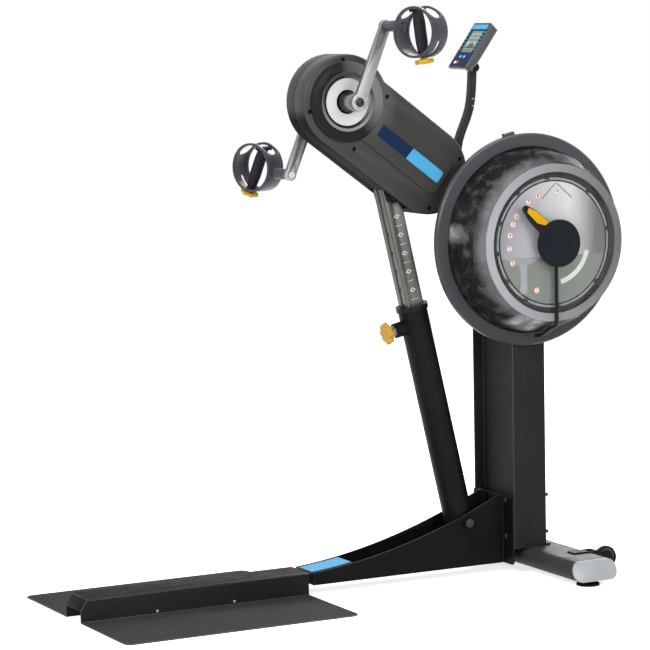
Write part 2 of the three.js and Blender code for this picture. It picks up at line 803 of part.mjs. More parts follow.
function column() {
  const wallOutline = new THREE.Shape();
  wallOutline.moveTo(COLUMN_FRONT, WEB_TOP - BASE_SHEET);
  wallOutline.lineTo(columnRear, WEB_TOP - BASE_SHEET);
  wallOutline.absarc(columnRear - WALL_CORNER, WALL_TOP - WALL_CORNER, WALL_CORNER, 0, Math.PI / 2, false);
  const frontCorner = COLUMN_FRONT + WALL_CORNER;
  wallOutline.absarc(frontCorner, WALL_TOP - WALL_CORNER, WALL_CORNER, Math.PI / 2, Math.PI, false);
  const wall = sidePlate(wallOutline, columnInner, COLUMN_HALF_WIDTH);
  const plate = box(
    point(COLUMN_FRONT, -COLUMN_HALF_WIDTH, stabilizerTop),
    point(COLUMN_FRONT + COLUMN_PLATE_LENGTH, COLUMN_HALF_WIDTH, columnBottom),
  );
  const reach = COLUMN_HALF_WIDTH + OVERRUN;
  const bore = crossRod(WALL_BORE_RADIUS, BRAKE_X, BRAKE_Z, -reach, reach);
  const walls = cut(join(columnBody(), wall, mirrorAcross(wall), plate), bore);
  return join(walls, hingeStub(), mirrorAcross(hingeStub()));
}

add(machine, 'column', column(), blackSteel);

// Rear stabilizer
function stabilizerOutline(inset) {
  return roundedRect(
    STABILIZER_FRONT + inset,
    stabilizerRear - inset,
    STABILIZER_BOTTOM + inset,
    stabilizerTop - inset,
    STABILIZER_CORNER - inset,
  );
}

// A block with slanted ends, wider at the bottom
function slantedBlock(topHalf) {
  const bottomHalf = topHalf + STABILIZER_SLANT;
  return crossPlate(
    polygon([
      [-bottomHalf, STABILIZER_BOTTOM],
      [bottomHalf, STABILIZER_BOTTOM],
      [topHalf, stabilizerTop],
      [-topHalf, stabilizerTop],
    ]),
    STABILIZER_FRONT - OVERRUN,
    stabilizerRear + OVERRUN,
  );
}

function stabilizer() {
  const outline = stabilizerOutline(0);
  outline.holes.push(stabilizerOutline(STABILIZER_WALL));
  const reach = STABILIZER_TOP_HALF + STABILIZER_SLANT;
  const tube = common(sidePlate(outline, -reach, reach), slantedBlock(STABILIZER_TOP_HALF));
  const studHoles = [-footSide, footSide].map((side) => rod(
    boreFor(FOOT_STUD_RADIUS),
    point(stabilizerMiddle, side, STABILIZER_BOTTOM - OVERRUN),
    point(stabilizerMiddle, side, STABILIZER_BOTTOM + STABILIZER_WALL + OVERRUN),
  ));
  return cut(tube, ...studHoles);
}

function stabilizerCap() {
  const seat = STABILIZER_TOP_HALF + GAP;
  const end = seat + CAP_THICKNESS;
  const reach = end + STABILIZER_SLANT;
  const bar = sidePlate(stabilizerOutline(0), -reach, 0);
  return cut(common(bar, slantedBlock(end)), slantedBlock(seat));
}

add(machine, 'stabilizer', stabilizer(), blackSteel);
add(machine, 'stabilizer_cap_near', stabilizerCap(), capSilver);
add(machine, 'stabilizer_cap_far', mirrorAcross(stabilizerCap()), capSilver);

function levellingFoot(side) {
  const seat = STABILIZER_BOTTOM - GAP;
  const pad = turned([
    [0, 0],
    [FOOT_RADIUS, 0],
    [FOOT_RADIUS, FOOT_PAD],
    [FOOT_NECK_RADIUS, FOOT_CONE],
    [FOOT_NECK_RADIUS, seat],
    [FOOT_STUD_RADIUS, seat],
    [FOOT_STUD_RADIUS, FOOT_STUD_TOP],
    [0, FOOT_STUD_TOP],
  ], ROUND_SIDES);
  return pad.rotateX(Math.PI / 2).translate(stabilizerMiddle, side, 0);
}

add(machine, 'foot_near', levellingFoot(-footSide), rubber);
add(machine, 'foot_far', levellingFoot(footSide), rubber);

// Transport wheels behind the stabilizer
function wheelBracket() {
  const cheekInner = WHEEL_HUB_HALF + GAP;
  const cheekOuter = cheekInner + BRACKET_SHEET;
  const strapTop = stabilizerTop + GAP + BRACKET_SHEET;
  const outline = new THREE.Shape();
  outline.moveTo(BRACKET_FRONT, strapTop);
  outline.lineTo(BRACKET_FRONT, STABILIZER_BOTTOM + STABILIZER_HEIGHT / 2);
  outline.lineTo(WHEEL_X - BRACKET_EYE / 2, WHEEL_Z - BRACKET_EYE);
  outline.absarc(WHEEL_X, WHEEL_Z, BRACKET_EYE, -Math.PI / 2, Math.PI / 4, false);
  outline.lineTo(stabilizerRear, strapTop);
  const cheek = sidePlate(outline, cheekInner, cheekOuter);
  const strap = box(
    point(BRACKET_FRONT, -cheekOuter, stabilizerTop + GAP),
    point(stabilizerRear - STABILIZER_CORNER, cheekOuter, strapTop),
  );
  const axle = crossRod(WHEEL_AXLE_RADIUS, WHEEL_X, WHEEL_Z, -cheekOuter, cheekOuter, ROUND_SIDES);
  const tube = sidePlate(stabilizerOutline(-GAP), -cheekOuter - OVERRUN, cheekOuter + OVERRUN);
  return join(cut(join(cheek, mirrorAcross(cheek), strap), tube), axle);
}

function transportWheel() {
  const bore = boreFor(WHEEL_AXLE_RADIUS);
  const rimInner = WHEEL_RADIUS - WHEEL_RIM;
  const half = WHEEL_HALF_WIDTH;
  return turnedRing([
    [bore, -WHEEL_HUB_HALF],
    [WHEEL_HUB_RADIUS, -WHEEL_HUB_HALF],
    [WHEEL_HUB_RADIUS, -half / 2],
    [rimInner, -half / 2],
    [rimInner, -half],
    [WHEEL_RADIUS - WHEEL_RIM / 2, -half],
    [WHEEL_RADIUS, -half / 2],
    [WHEEL_RADIUS, half / 2],
    [WHEEL_RADIUS - WHEEL_RIM / 2, half],
    [rimInner, half],
    [rimInner, half / 2],
    [WHEEL_HUB_RADIUS, half / 2],
    [WHEEL_HUB_RADIUS, WHEEL_HUB_HALF],
    [bore, WHEEL_HUB_HALF],
  ], ROUND_SIDES).translate(WHEEL_X, 0, WHEEL_Z);
}

for (const [name, side] of [['near', -wheelSide], ['far', wheelSide]]) {
  add(machine, `wheel_bracket_${name}`, wheelBracket().translate(0, side, 0), blackSteel);
  add(machine, `transport_wheel_${name}`, transportWheel().translate(0, side, 0), rubber);
}

// Water tank, drawn about its axis with distances counted from the machine's middle
const tank = new THREE.Group();
tank.position.set(BRAKE_X, 0, BRAKE_Z);
machine.add(tank);

function tankPart(name, geometry, material) {
  add(tank, name, mirrorAcross(geometry), material);
}

function tankBackPlate() {
  const plate = turnedRing([
    [WALL_BORE_RADIUS, tankBack],
    [tankBackRadius, tankBack],
    [tankBackRadius, tankPlateFront],
    [WALL_BORE_RADIUS, tankPlateFront],
  ]);
  return plate;
}

function clampRing() {
  const lipBack = clampFront - CLAMP_LIP;
  const ring = turnedRing([
    [tankBackRadius + GAP, tankBack],
    [TANK_RADIUS - CLAMP_ROUND, tankBack],
    [TANK_RADIUS, tankBack + CLAMP_ROUND],
    [TANK_RADIUS, clampFront - CLAMP_ROUND],
    [TANK_RADIUS - CLAMP_ROUND, clampFront],
    [clampInner + CLAMP_ROUND, clampFront],
    [clampInner, clampFront - CLAMP_ROUND],
    [clampInner, lipBack],
    [tankBackRadius + GAP, lipBack],
  ]);
  const plug = box(
    point(TANK_RADIUS - CLAMP_ROUND, tankBack, -PLUG_HALF),
    point(TANK_RADIUS + PLUG_HEIGHT, clampFront - CLAMP_ROUND, PLUG_HALF),
  ).rotateY(-PLUG_ANGLE);
  return join(ring, plug);
}

// Radius of the bowl's outside at a share of its depth, as radius and depth shares
const BOWL_SHARES = [
  [1, 0.045],
  [0.998, 0.3],
  [0.985, 0.46],
  [0.955, 0.62],
  [0.915, 0.76],
  [0.885, 0.88],
  [0.865, 0.955],
  [0.85, 1],
];

function bowlProfile(inset) {
  return BOWL_SHARES.map(([radiusShare, depthShare]) => [
    bowlRadius * radiusShare - inset,
    bowlBack + BOWL_DEPTH * depthShare,
  ]);
}

function bowl() {
  const outside = bowlProfile(0);
  const inside = bowlProfile(BOWL_WALL).slice(0, -2).reverse();
  const innerLip = bowlFront - BOWL_WALL;
  return turnedRing([
    [bowlRadius - BOWL_WALL, bowlBack],
    [bowlFlangeRadius, bowlBack],
    [bowlFlangeRadius, bowlBack + BOWL_FLANGE],
    ...outside,
    [boreFor(faceRadius, FINE_SIDES), bowlFront],
    [boreFor(faceRadius, FINE_SIDES), innerLip],
    ...inside,
  ]);
}

function plainDisc(inner, outer, from, to) {
  return turnedRing([[inner, from], [outer, from], [outer, to], [inner, to]]);
}

function reservoir() {
  const inner = reservoirRadius - RESERVOIR_WALL;
  return turned([
    [0, reservoirBack],
    [reservoirRadius, reservoirBack],
    [reservoirRadius, reservoirFront],
    [inner, reservoirFront],
    [inner, reservoirBack + RESERVOIR_WALL],
    [0, reservoirBack + RESERVOIR_WALL],
  ]);
}

// Pipe down the face, over the seal and back along the bowl's shoulder
function drainPipe() {
  const proud = PIPE_RADIUS + GAP;
  const face = sealBack + SEAL_THICKNESS + proud;
  const shoulder = bowlProfile(-proud - SEAL_THICKNESS).slice(1, -2).reverse();
  const route = [
    point(0, face, -DIAL_BOSS_RADIUS - GAP),
    point(0, face, -(DIAL_CAP_RADIUS + reservoirRadius) / 2),
    point(0, face, -sealInner),
    point(0, face, -sealOuter),
    point(0, face - PIPE_RADIUS / 2, -sealOuter - 2 * PIPE_RADIUS),
    ...shoulder.map(([radius, along]) => point(0, along, -radius)),
  ];
  const section = new THREE.Shape();
  section.absarc(0, 0, PIPE_RADIUS, 0, 2 * Math.PI, false);
  return new THREE.ExtrudeGeometry(section, {
    steps: PIPE_STEPS,
    curveSegments: PIPE_SIDES,
    bevelEnabled: false,
    extrudePath: new THREE.CatmullRomCurve3(route, false, 'centripetal'),
  });
}

tankPart('tank_back', tankBackPlate(), blackPlastic);
tankPart('tank_clamp_ring', clampRing(), ringGrey);
tankPart('tank_bowl', bowl(), clear);
tankPart('tank_face', turned([
  [0, faceBack],
  [faceRadius, faceBack],
  [faceRadius, bowlFront],
  [0, bowlFront],
]), clear);
tankPart('tank_seal', plainDisc(sealInner, sealOuter, sealBack, sealBack + SEAL_THICKNESS), frosted);
tankPart('tank_reservoir', reservoir(), clear);
tankPart('dial_plate', turned([
  [0, reservoirFront - DIAL_PLATE_SHEET],
  [reservoirRadius - RESERVOIR_WALL - GAP, reservoirFront - DIAL_PLATE_SHEET],
  [reservoirRadius - RESERVOIR_WALL - GAP, reservoirFront],
  [0, reservoirFront],
]), white);
tankPart('dial_boss', turned([
  [0, sealBack],
  [DIAL_BOSS_RADIUS, sealBack],
  [DIAL_BOSS_RADIUS, sealBack + DIAL_BOSS_LENGTH],
  [0, sealBack + DIAL_BOSS_LENGTH],
], ROUND_SIDES), capSilver);
tankPart('drain_pipe', drainPipe(), blackPlastic);

// Level lever: a round cap over the boss with a tapered pointer
function levelLever() {
  const front = dialCapBack + DIAL_CAP_THICKNESS;
  const recess = DIAL_BOSS_RADIUS + GAP;
  const recessTop = sealBack + DIAL_BOSS_LENGTH + GAP;
  const cap = turned([
    [0, recessTop],
    [recess, recessTop],
    [recess, dialCapBack],
    [DIAL_CAP_RADIUS, dialCapBack],
    [DIAL_CAP_RADIUS, front - DIAL_CAP_ROUND],
    [DIAL_CAP_RADIUS - DIAL_CAP_ROUND, front],
    [0, front],
  ]);
  const tip = LEVER_LENGTH - LEVER_TIP_HALF;
  const outline = new THREE.Shape();
  outline.moveTo(DIAL_CAP_RADIUS / 2 + LEVER_ROOT_HALF, -LEVER_ROOT_HALF);
  outline.lineTo(LEVER_SHOULDER, -LEVER_SHOULDER_HALF);
  outline.absarc(tip, 0, LEVER_TIP_HALF, -Math.PI / 2, Math.PI / 2, false);
  outline.lineTo(LEVER_SHOULDER, LEVER_SHOULDER_HALF);
  outline.lineTo(DIAL_CAP_RADIUS / 2 + LEVER_ROOT_HALF, LEVER_ROOT_HALF);
  const pointer = sidePlate(outline, front - LEVER_THICKNESS, front, LEVER_BEVEL).rotateY(-LEVER_ANGLE);
  return join(cap, pointer);
}

tankPart('level_lever', levelLever(), dialBlack);

// Brake rotor: shaft with the small belt pulley, and the impeller
function rotorShaft() {
  const half = PULLEY_HALF_WIDTH + BELT_PLAY;
  const flangeRadius = BRAKE_PULLEY_RADIUS + BELT_THICKNESS;
  const flangeEnd = half + PULLEY_FLANGE;
  const hubEnd = STUB_INNER - GAP;
  const hubRadius = (ROTOR_SHAFT_RADIUS + BRAKE_PULLEY_RADIUS) / 2;
  const farEnd = -columnInner;
  const nearEnd = reservoirBack - GAP;
  return turned([
    [0, farEnd],
    [ROTOR_SHAFT_RADIUS, farEnd],
    [ROTOR_SHAFT_RADIUS, -hubEnd],
    [hubRadius, -hubEnd],
    [hubRadius, -flangeEnd],
    [flangeRadius, -flangeEnd],
    [flangeRadius, -half],
    [BRAKE_PULLEY_RADIUS, -half],
    [BRAKE_PULLEY_RADIUS, half],
    [flangeRadius, half],
    [flangeRadius, flangeEnd],
    [hubRadius, flangeEnd],
    [hubRadius, hubEnd],
    [ROTOR_SHAFT_RADIUS, hubEnd],
    [ROTOR_SHAFT_RADIUS, nearEnd],
    [0, nearEnd],
  ], ROUND_SIDES);
}

// One curved paddle, an arc band swept from the disc to the rim
function bladeOutline() {
  const steps = ARC_STEPS;
  const outer = [];
  const inner = [];
  for (let step = 0; step <= steps; step += 1) {
    const share = step / steps;
    const radius = BLADE_INNER + share * (bladeOuter - BLADE_INNER);
    const angle = BLADE_SWEEP * share * share;
    const side = new THREE.Vector2(-Math.sin(angle), Math.cos(angle)).multiplyScalar(BLADE_THICKNESS / 2);
    const spot = new THREE.Vector2(radius * Math.cos(angle), radius * Math.sin(angle));
    outer.push(spot.clone().add(side));
    inner.push(spot.clone().sub(side));
  }
  return new THREE.Shape([...outer, ...inner.reverse()]);
}

function impeller() {
  const back = tankPlateFront + IMPELLER_CLEARANCE;
  const front = reservoirBack - IMPELLER_CLEARANCE;
  const middle = (back + front) / 2;
  const bore = boreFor(ROTOR_SHAFT_RADIUS);
  const hub = plainDisc(bore, IMPELLER_HUB_RADIUS, back, front);
  const discInner = IMPELLER_HUB_RADIUS - WELD_LAP;
  const disc = plainDisc(discInner, IMPELLER_DISC_RADIUS, middle - IMPELLER_DISC, middle);
  const blades = [];
  for (let blade = 0; blade < IMPELLER_BLADES; blade += 1) {
    const paddle = sidePlate(bladeOutline(), back, front);
    blades.push(paddle.rotateY((blade / IMPELLER_BLADES) * 2 * Math.PI));
  }
  return join(hub, disc, ...blades);
}

tankPart('rotor_shaft', rotorShaft(), silver);
tankPart('impeller', impeller(), frosted);

// Arm: everything drawn along its centre line, crank axis at the start
const arm = new THREE.Group();
arm.position.set(crankX, 0, crankZ);
arm.rotation.y = ARM_ANGLE;
machine.add(arm);

function framePlate() {
  const half = FRAME_HALF_HEIGHT;
  const outline = new THREE.Shape();
  outline.absarc(0, 0, half, Math.PI / 2, (3 * Math.PI) / 2, false);
  outline.absarc(ARM_LENGTH, 0, half, -Math.PI / 2, Math.PI / 2, false);
  const plate = sidePlate(outline, FRAME_INNER, frameOuter);
  const ear = new THREE.Shape();
  ear.moveTo(LUG_ALONG - LUG_ROOT, -half + FRAME_SHEET);
  ear.absarc(LUG_ALONG, -LUG_DROP, LUG_RADIUS, Math.PI, 2 * Math.PI, false);
  ear.lineTo(LUG_ALONG + LUG_ROOT, -half + FRAME_SHEET);
  const bush = crossRod(LUG_BUSH_RADIUS, LUG_ALONG, -LUG_DROP, POST_HALF_WIDTH + GAP, frameOuter);
  const hingeBoss = crossRod(HINGE_BOSS_RADIUS, ARM_LENGTH, 0, FRAME_INNER, frameOuter + HINGE_BOSS_LENGTH);
  const bearing = crossRod(CRANK_BEARING_RADIUS, 0, 0, FRAME_INNER, frameOuter + CRANK_BEARING_LENGTH);
  return join(plate, sidePlate(ear, FRAME_INNER, frameOuter), bush, hingeBoss, bearing);
}

function armFrame() {
  const reach = frameOuter + HINGE_BOSS_LENGTH + OVERRUN;
  const strips = [-1, 1].map((side) => {
    const edge = side * FRAME_HALF_HEIGHT;
    const inside = side * (FRAME_HALF_HEIGHT - FRAME_STRIP);
    return box(
      point(ARM_LENGTH - STRIP_FRONT_SETBACK, -FRAME_INNER - FRAME_STRIP, Math.min(edge, inside)),
      point(ARM_LENGTH - STRIP_REAR_SETBACK, FRAME_INNER + FRAME_STRIP, Math.max(edge, inside)),
    );
  });
  const tubes = [CROSS_TUBE_FRONT, ARM_LENGTH - CROSS_TUBE_SETBACK].map((along) => crossRod(
    CROSS_TUBE_RADIUS, along, 0, -FRAME_INNER - FRAME_STRIP, FRAME_INNER + FRAME_STRIP,
  ));
  const bores = [
    crossRod(boreFor(SHAFT_RADIUS), 0, 0, -reach, reach),
    crossRod(boreFor(STUB_RADIUS), ARM_LENGTH, 0, -reach, reach),
    crossRod(boreFor(PIVOT_BOLT_RADIUS), LUG_ALONG, -LUG_DROP, -reach, reach),
  ];
  return cut(join(framePlate(), mirrorAcross(framePlate()), ...strips, ...tubes), ...bores);
}

add(arm, 'arm_frame', armFrame(), blackSteel);

// Housing outline: round drum in front, two straight edges and a round tail
function housingOutline(inset) {
  const drum = DRUM_RADIUS - inset;
  const top = HOUSING_TOP - inset;
  const tailRadius = (HOUSING_TOP + HOUSING_BOTTOM) / 2 - inset;
  const shape = new THREE.Shape();
  shape.absarc(0, 0, drum, -Math.PI / 2, Math.asin(top / drum), true);
  shape.absarc(housingTail, tailMiddle, tailRadius, Math.PI / 2, -Math.PI / 2, true);
  return shape;
}

// Screws of the shells stand in pairs above and below the centre line
const screwPlaces = [1, -1].flatMap((side) => [
  [-DRUM_SCREW_ALONG, side * DRUM_SCREW_RISE],
  [WAIST_SCREW_ALONG, tailMiddle / 2 + side * WAIST_SCREW_RISE],
  [housingTail + TAIL_SCREW_REACH, tailMiddle + side * TAIL_SCREW_RISE],
]);

function housingShell(rim) {
  const discFront = rim + DISC_HEIGHT;
  const split = GAP / 2;
  const wide = 2 * ARM_LENGTH;
  const behind = box(point(-wide, -rim, -wide), point(wide, split, wide));
  const body = cut(sidePlate(housingOutline(0), -rim / 2, rim, SHELL_BEVEL, WIDE_ARC_STEPS), behind);
  const disc = crossRod(DISC_RADIUS, 0, 0, rim - SHELL_WALL, discFront - DISC_CHAMFER / 2, FINE_SIDES);
  const chamferEnd = DISC_RADIUS - DISC_CHAMFER;
  const rimEdge = crossRod(
    DISC_RADIUS, 0, 0, discFront - DISC_CHAMFER / 2, discFront, FINE_SIDES, chamferEnd,
  );
  const plateau = sidePlate(
    roundedRect(0, plateauEnd, -PLATEAU_BOTTOM, PLATEAU_TOP, PLATEAU_CORNER),
    rim - SHELL_WALL,
    rim + PLATEAU_HEIGHT,
    SHELL_BEVEL / 2,
  );
  const bosses = screwPlaces.map(([along, rise]) => (
    crossRod(SCREW_BOSS_RADIUS, along, rise, SCREW_BOSS_START, rim - SHELL_WALL / 2, ROUND_SIDES / 2)
  ));
  const hollow = sidePlate(housingOutline(SHELL_WALL), -OVERRUN, rim - SHELL_WALL, 0, WIDE_ARC_STEPS);
  const discHollow = crossRod(
    DISC_RADIUS - DISC_CHAMFER, 0, 0, 0, discFront - SHELL_WALL, FINE_SIDES,
  );
  const opening = crossRod(OPENING_RADIUS, 0, 0, 0, discFront + OVERRUN, FINE_SIDES);
  const flare = crossRod(
    OPENING_RADIUS, 0, 0, discFront - SHELL_WALL - GAP, discFront + GAP, FINE_SIDES, OPENING_FLARE,
  );
  const recesses = screwPlaces.map(([along, rise]) => (
    crossRod(SCREW_RECESS_RADIUS, along, rise, rim - SCREW_RECESS_DEPTH, rim + OVERRUN, ROUND_SIDES / 2)
  ));
  const walled = cut(join(body, disc, rimEdge, plateau), hollow, discHollow);
  return cut(join(walled, ...bosses), opening, flare, ...recesses, ...armSlots());
}

// Ways through the shells for the frame, the mast head and the console stem
function armSlots() {
  const reach = frameOuter + GAP;
  const rear = ARM_LENGTH;
  const frameHalf = FRAME_HALF_HEIGHT + GAP;
  const frameWay = box(point(housingTail, -reach, -frameHalf), point(rear, reach, frameHalf));
  const slot = new THREE.Shape();
  slot.absarc(LUG_ALONG, -LUG_DROP, MAST_SLOT_RADIUS, 0, Math.PI, false);
  slot.lineTo(LUG_ALONG - MAST_SLOT_RADIUS, -LUG_DROP - MAST_SLOT_RADIUS);
  slot.lineTo(LUG_ALONG + 2 * MAST_SLOT_RADIUS, -LUG_DROP - MAST_SLOT_RADIUS);
  slot.lineTo(LUG_ALONG + MAST_SLOT_RUN, -LUG_DROP);
  const mastWay = sidePlate(slot, -MAST_SLOT_HALF, MAST_SLOT_HALF);
  const stemWay = box(
    point(stemFoot - STEM_FOOT_LENGTH, -STEM_HALF_WIDTH - GAP, 0),
    point(stemFoot + STEM_FOOT_LENGTH / 2, STEM_HALF_WIDTH + GAP, STEM_SHOULDER),
  );
  return [frameWay, mastWay, stemWay];
}

add(arm, 'housing_near', mirrorAcross(housingShell(NEAR_RIM)), shellGrey);
add(arm, 'housing_far', housingShell(FAR_RIM), shellGrey);

// Bright trim discs round the crank hub
function hubTrim(rim) {
  const front = rim + DISC_HEIGHT - SHELL_WALL - GAP;
  return plainDisc(TRIM_INNER, OPENING_RADIUS + TRIM_LAP, front - TRIM_THICKNESS, front);
}

add(arm, 'hub_trim_near', mirrorAcross(hubTrim(NEAR_RIM)), white);
add(arm, 'hub_trim_far', hubTrim(FAR_RIM), white);

// Belt loop round both pulleys
function belt() {
  const front = boreFor(PULLEY_RADIUS, 2 * ROUND_SIDES);
  const rear = boreFor(BRAKE_PULLEY_RADIUS, 2 * ROUND_SIDES);
  const half = PULLEY_HALF_WIDTH;
  const outer = sidePlate(
    loopOutline(front + BELT_THICKNESS, rear + BELT_THICKNESS, ARM_LENGTH, ROUND_SIDES), -half, half,
  );
  const reach = half + WELD_LAP;
  const inner = sidePlate(loopOutline(front, rear, ARM_LENGTH, ROUND_SIDES), -reach, reach);
  return cut(outer, inner);
}

add(arm, 'drive_belt', belt(), rubber);

// Bolt through the arm's lugs and the head of the mast
function pivotBolt() {
  const seat = frameOuter + GAP;
  const shank = crossRod(PIVOT_BOLT_RADIUS, LUG_ALONG, -LUG_DROP, -seat, seat);
  const heads = [-1, 1].map((side) => crossRod(
    PIVOT_HEAD_RADIUS, LUG_ALONG, -LUG_DROP, side * seat, side * (seat + PIVOT_HEAD),
  ));
  return join(shank, ...heads);
}

add(arm, 'mast_head_bolt', pivotBolt(), blackSteel);

// Console stem: a bent flat bar from a foot on the frame to the console knuckle
function stemCentre() {
  return new THREE.SplineCurve([
    new THREE.Vector2(stemFoot, FRAME_HALF_HEIGHT + GAP + STEM_FOOT_SHEET / 2),
    new THREE.Vector2(stemFoot - STEM_FOOT_LENGTH, STEM_SHOULDER),
    new THREE.Vector2(STEM_BEND_ALONG, STEM_BEND_RISE),
    new THREE.Vector2(CONSOLE_ALONG, CONSOLE_RISE),
  ]);
}

function stem() {
  const curve = stemCentre();
  const left = [];
  const right = [];
  for (let step = 0; step <= STEM_STEPS; step += 1) {
    const spot = curve.getPoint(step / STEM_STEPS);
    const heading = curve.getTangent(step / STEM_STEPS);
    const side = new THREE.Vector2(-heading.y, heading.x).multiplyScalar(STEM_HALF_DEPTH);
    left.push(spot.clone().add(side));
    right.push(spot.clone().sub(side));
  }
  const outline = new THREE.Shape([...left, ...right.reverse()]);
  const bar = sidePlate(outline, -STEM_HALF_WIDTH, STEM_HALF_WIDTH);
  const neck = sidePlate(outline, -KNUCKLE_HALF, KNUCKLE_HALF);
  const eye = crossRod(KNUCKLE_RADIUS, CONSOLE_ALONG, CONSOLE_RISE, -KNUCKLE_HALF, KNUCKLE_HALF);
  const clearance = KNUCKLE_RADIUS + KNUCKLE_ROOM;
  const room = crossRod(
    clearance, CONSOLE_ALONG, CONSOLE_RISE, -STEM_HALF_WIDTH - OVERRUN, STEM_HALF_WIDTH + OVERRUN,
  );
  const bore = crossRod(
    boreFor(KNUCKLE_PIN_RADIUS),
    CONSOLE_ALONG,
    CONSOLE_RISE,
    -KNUCKLE_HALF - OVERRUN,
    KNUCKLE_HALF + OVERRUN,
  );
  const footLow = FRAME_HALF_HEIGHT + GAP;
  const foot = box(
    point(stemFoot - STEM_FOOT_LENGTH / 4, -STEM_HALF_WIDTH, footLow),
    point(stemFoot + STEM_FOOT_LENGTH / 2 - GAP, STEM_HALF_WIDTH, footLow + STEM_FOOT_SHEET),
  );
  const below = box(
    point(0, -STEM_HALF_WIDTH - OVERRUN, 0),
    point(2 * ARM_LENGTH, STEM_HALF_WIDTH + OVERRUN, footLow),
  );
  return cut(join(cut(bar, room), neck, eye, foot), bore, below);
}

add(arm, 'console_stem', stem(), blackSteel);

// Console, drawn from its hinge: -X is the way the face looks, +Z runs up the face
const consoleHinge = armPoint(CONSOLE_ALONG, CONSOLE_RISE);
const panel = new THREE.Group();
panel.position.set(consoleHinge.x, 0, consoleHinge.y);
panel.rotation.y = CONSOLE_TILT;
machine.add(panel);

const faceFront = -CONSOLE_FACE_REACH;
const faceFloor = faceFront + FACE_INSET;
const faceHalf = CONSOLE_HALF_WIDTH - FACE_MARGIN;
const faceTop = CONSOLE_TOP - FACE_MARGIN;
const faceBottom = -CONSOLE_BOTTOM + FACE_MARGIN;

function buttonSpots() {
  return BUTTONS.map(({ across, up }) => point(faceFloor, across, up));
}

function consoleBody() {
  const back = -CONSOLE_BACK_REACH;
  const outline = polygon([
    [faceFront + CONSOLE_CHIN, -CONSOLE_BOTTOM],
    [faceFront, -CONSOLE_BOTTOM + CONSOLE_CHIN],
    [faceFront, CONSOLE_TOP],
    [back, CONSOLE_TOP - FACE_MARGIN],
    [back, CONSOLE_BELLY],
  ]);
  outline.quadraticCurveTo(back, -CONSOLE_BOTTOM, faceFront + CONSOLE_CHIN, -CONSOLE_BOTTOM);
  const block = sidePlate(outline, -CONSOLE_HALF_WIDTH, CONSOLE_HALF_WIDTH, CONSOLE_CORNER);
  const earInner = KNUCKLE_HALF + GAP;
  const ears = [-1, 1].map((side) => {
    const low = side * earInner;
    const high = side * STEM_HALF_WIDTH;
    const eye = crossRod(KNUCKLE_RADIUS, 0, 0, low, high);
    const bracket = box(
      point(back - FACE_MARGIN, Math.min(low, high), -KNUCKLE_RADIUS / 2),
      point(0, Math.max(low, high), KNUCKLE_RADIUS + CONSOLE_BELLY / 2),
    );
    return join(eye, bracket);
  });
  const pin = crossRod(KNUCKLE_PIN_RADIUS, 0, 0, -earInner, earInner);
  const pocket = box(
    point(faceFront - OVERRUN, -faceHalf - GAP, faceBottom - GAP),
    point(faceFloor, faceHalf + GAP, faceTop + GAP),
  );
  const screenPocket = box(
    point(faceFloor - GAP, -SCREEN_HALF_WIDTH, SCREEN_BOTTOM),
    point(faceFloor + SCREEN_SHEET + GAP, SCREEN_HALF_WIDTH, SCREEN_TOP),
  );
  const wells = buttonSpots().map((spot) => rod(
    boreFor(BUTTON_RADIUS, BUTTON_SIDES),
    spot.clone().add(point(-OVERRUN, 0, 0)),
    spot.clone().add(point(BUTTON_DEPTH + BUTTON_STAND, 0, 0)),
    BUTTON_SIDES,
  ));
  const knuckleRoom = box(
    point(back - KNUCKLE_ROOM, -earInner, -KNUCKLE_RADIUS - KNUCKLE_ROOM),
    point(KNUCKLE_RADIUS, earInner, KNUCKLE_RADIUS + KNUCKLE_ROOM),
  );
  return join(cut(join(block, ...ears), pocket, screenPocket, knuckleRoom, ...wells), pin);
}

function consoleFace() {
  const plate = crossPlate(
    roundedRect(-faceHalf, faceHalf, faceBottom, faceTop, FACE_MARGIN),
    faceFront,
    faceFloor - GAP,
  );
  const screenWay = box(
    point(faceFront - OVERRUN, -SCREEN_HALF_WIDTH + SCREEN_LIP, SCREEN_BOTTOM + SCREEN_LIP),
    point(faceFloor + OVERRUN, SCREEN_HALF_WIDTH - SCREEN_LIP, SCREEN_TOP - SCREEN_LIP),
  );
  const holes = buttonSpots().map((spot) => rod(
    boreFor(BUTTON_RADIUS, BUTTON_SIDES),
    spot.clone().add(point(-OVERRUN, 0, 0)),
    spot.clone().add(point(OVERRUN, 0, 0)),
    BUTTON_SIDES,
  ));
  return cut(plate, screenWay, ...holes);
}

add(panel, 'console_body', consoleBody(), blackPlastic);
add(panel, 'console_face', consoleFace(), navy);
add(panel, 'console_screen', box(
  point(faceFloor, -SCREEN_HALF_WIDTH + GAP, SCREEN_BOTTOM + GAP),
  point(faceFloor + SCREEN_SHEET, SCREEN_HALF_WIDTH - GAP, SCREEN_TOP - GAP),
), screenGreen);
for (const { name, across, up, colour } of BUTTONS) {
  const spot = point(faceFront - BUTTON_STAND, across, up);
  const cap = rod(BUTTON_RADIUS, spot, spot.clone().add(point(BUTTON_DEPTH, 0, 0)), BUTTON_SIDES);
  add(panel, name, cap, finish(colour, 0.5, 0));
}

// Crank set, turned about the crank axis so that the near crank points up its own +Z
const cranks = new THREE.Group();
cranks.position.set(crankX, 0, crankZ);
cranks.rotation.y = CRANK_ANGLE;
machine.add(cranks);

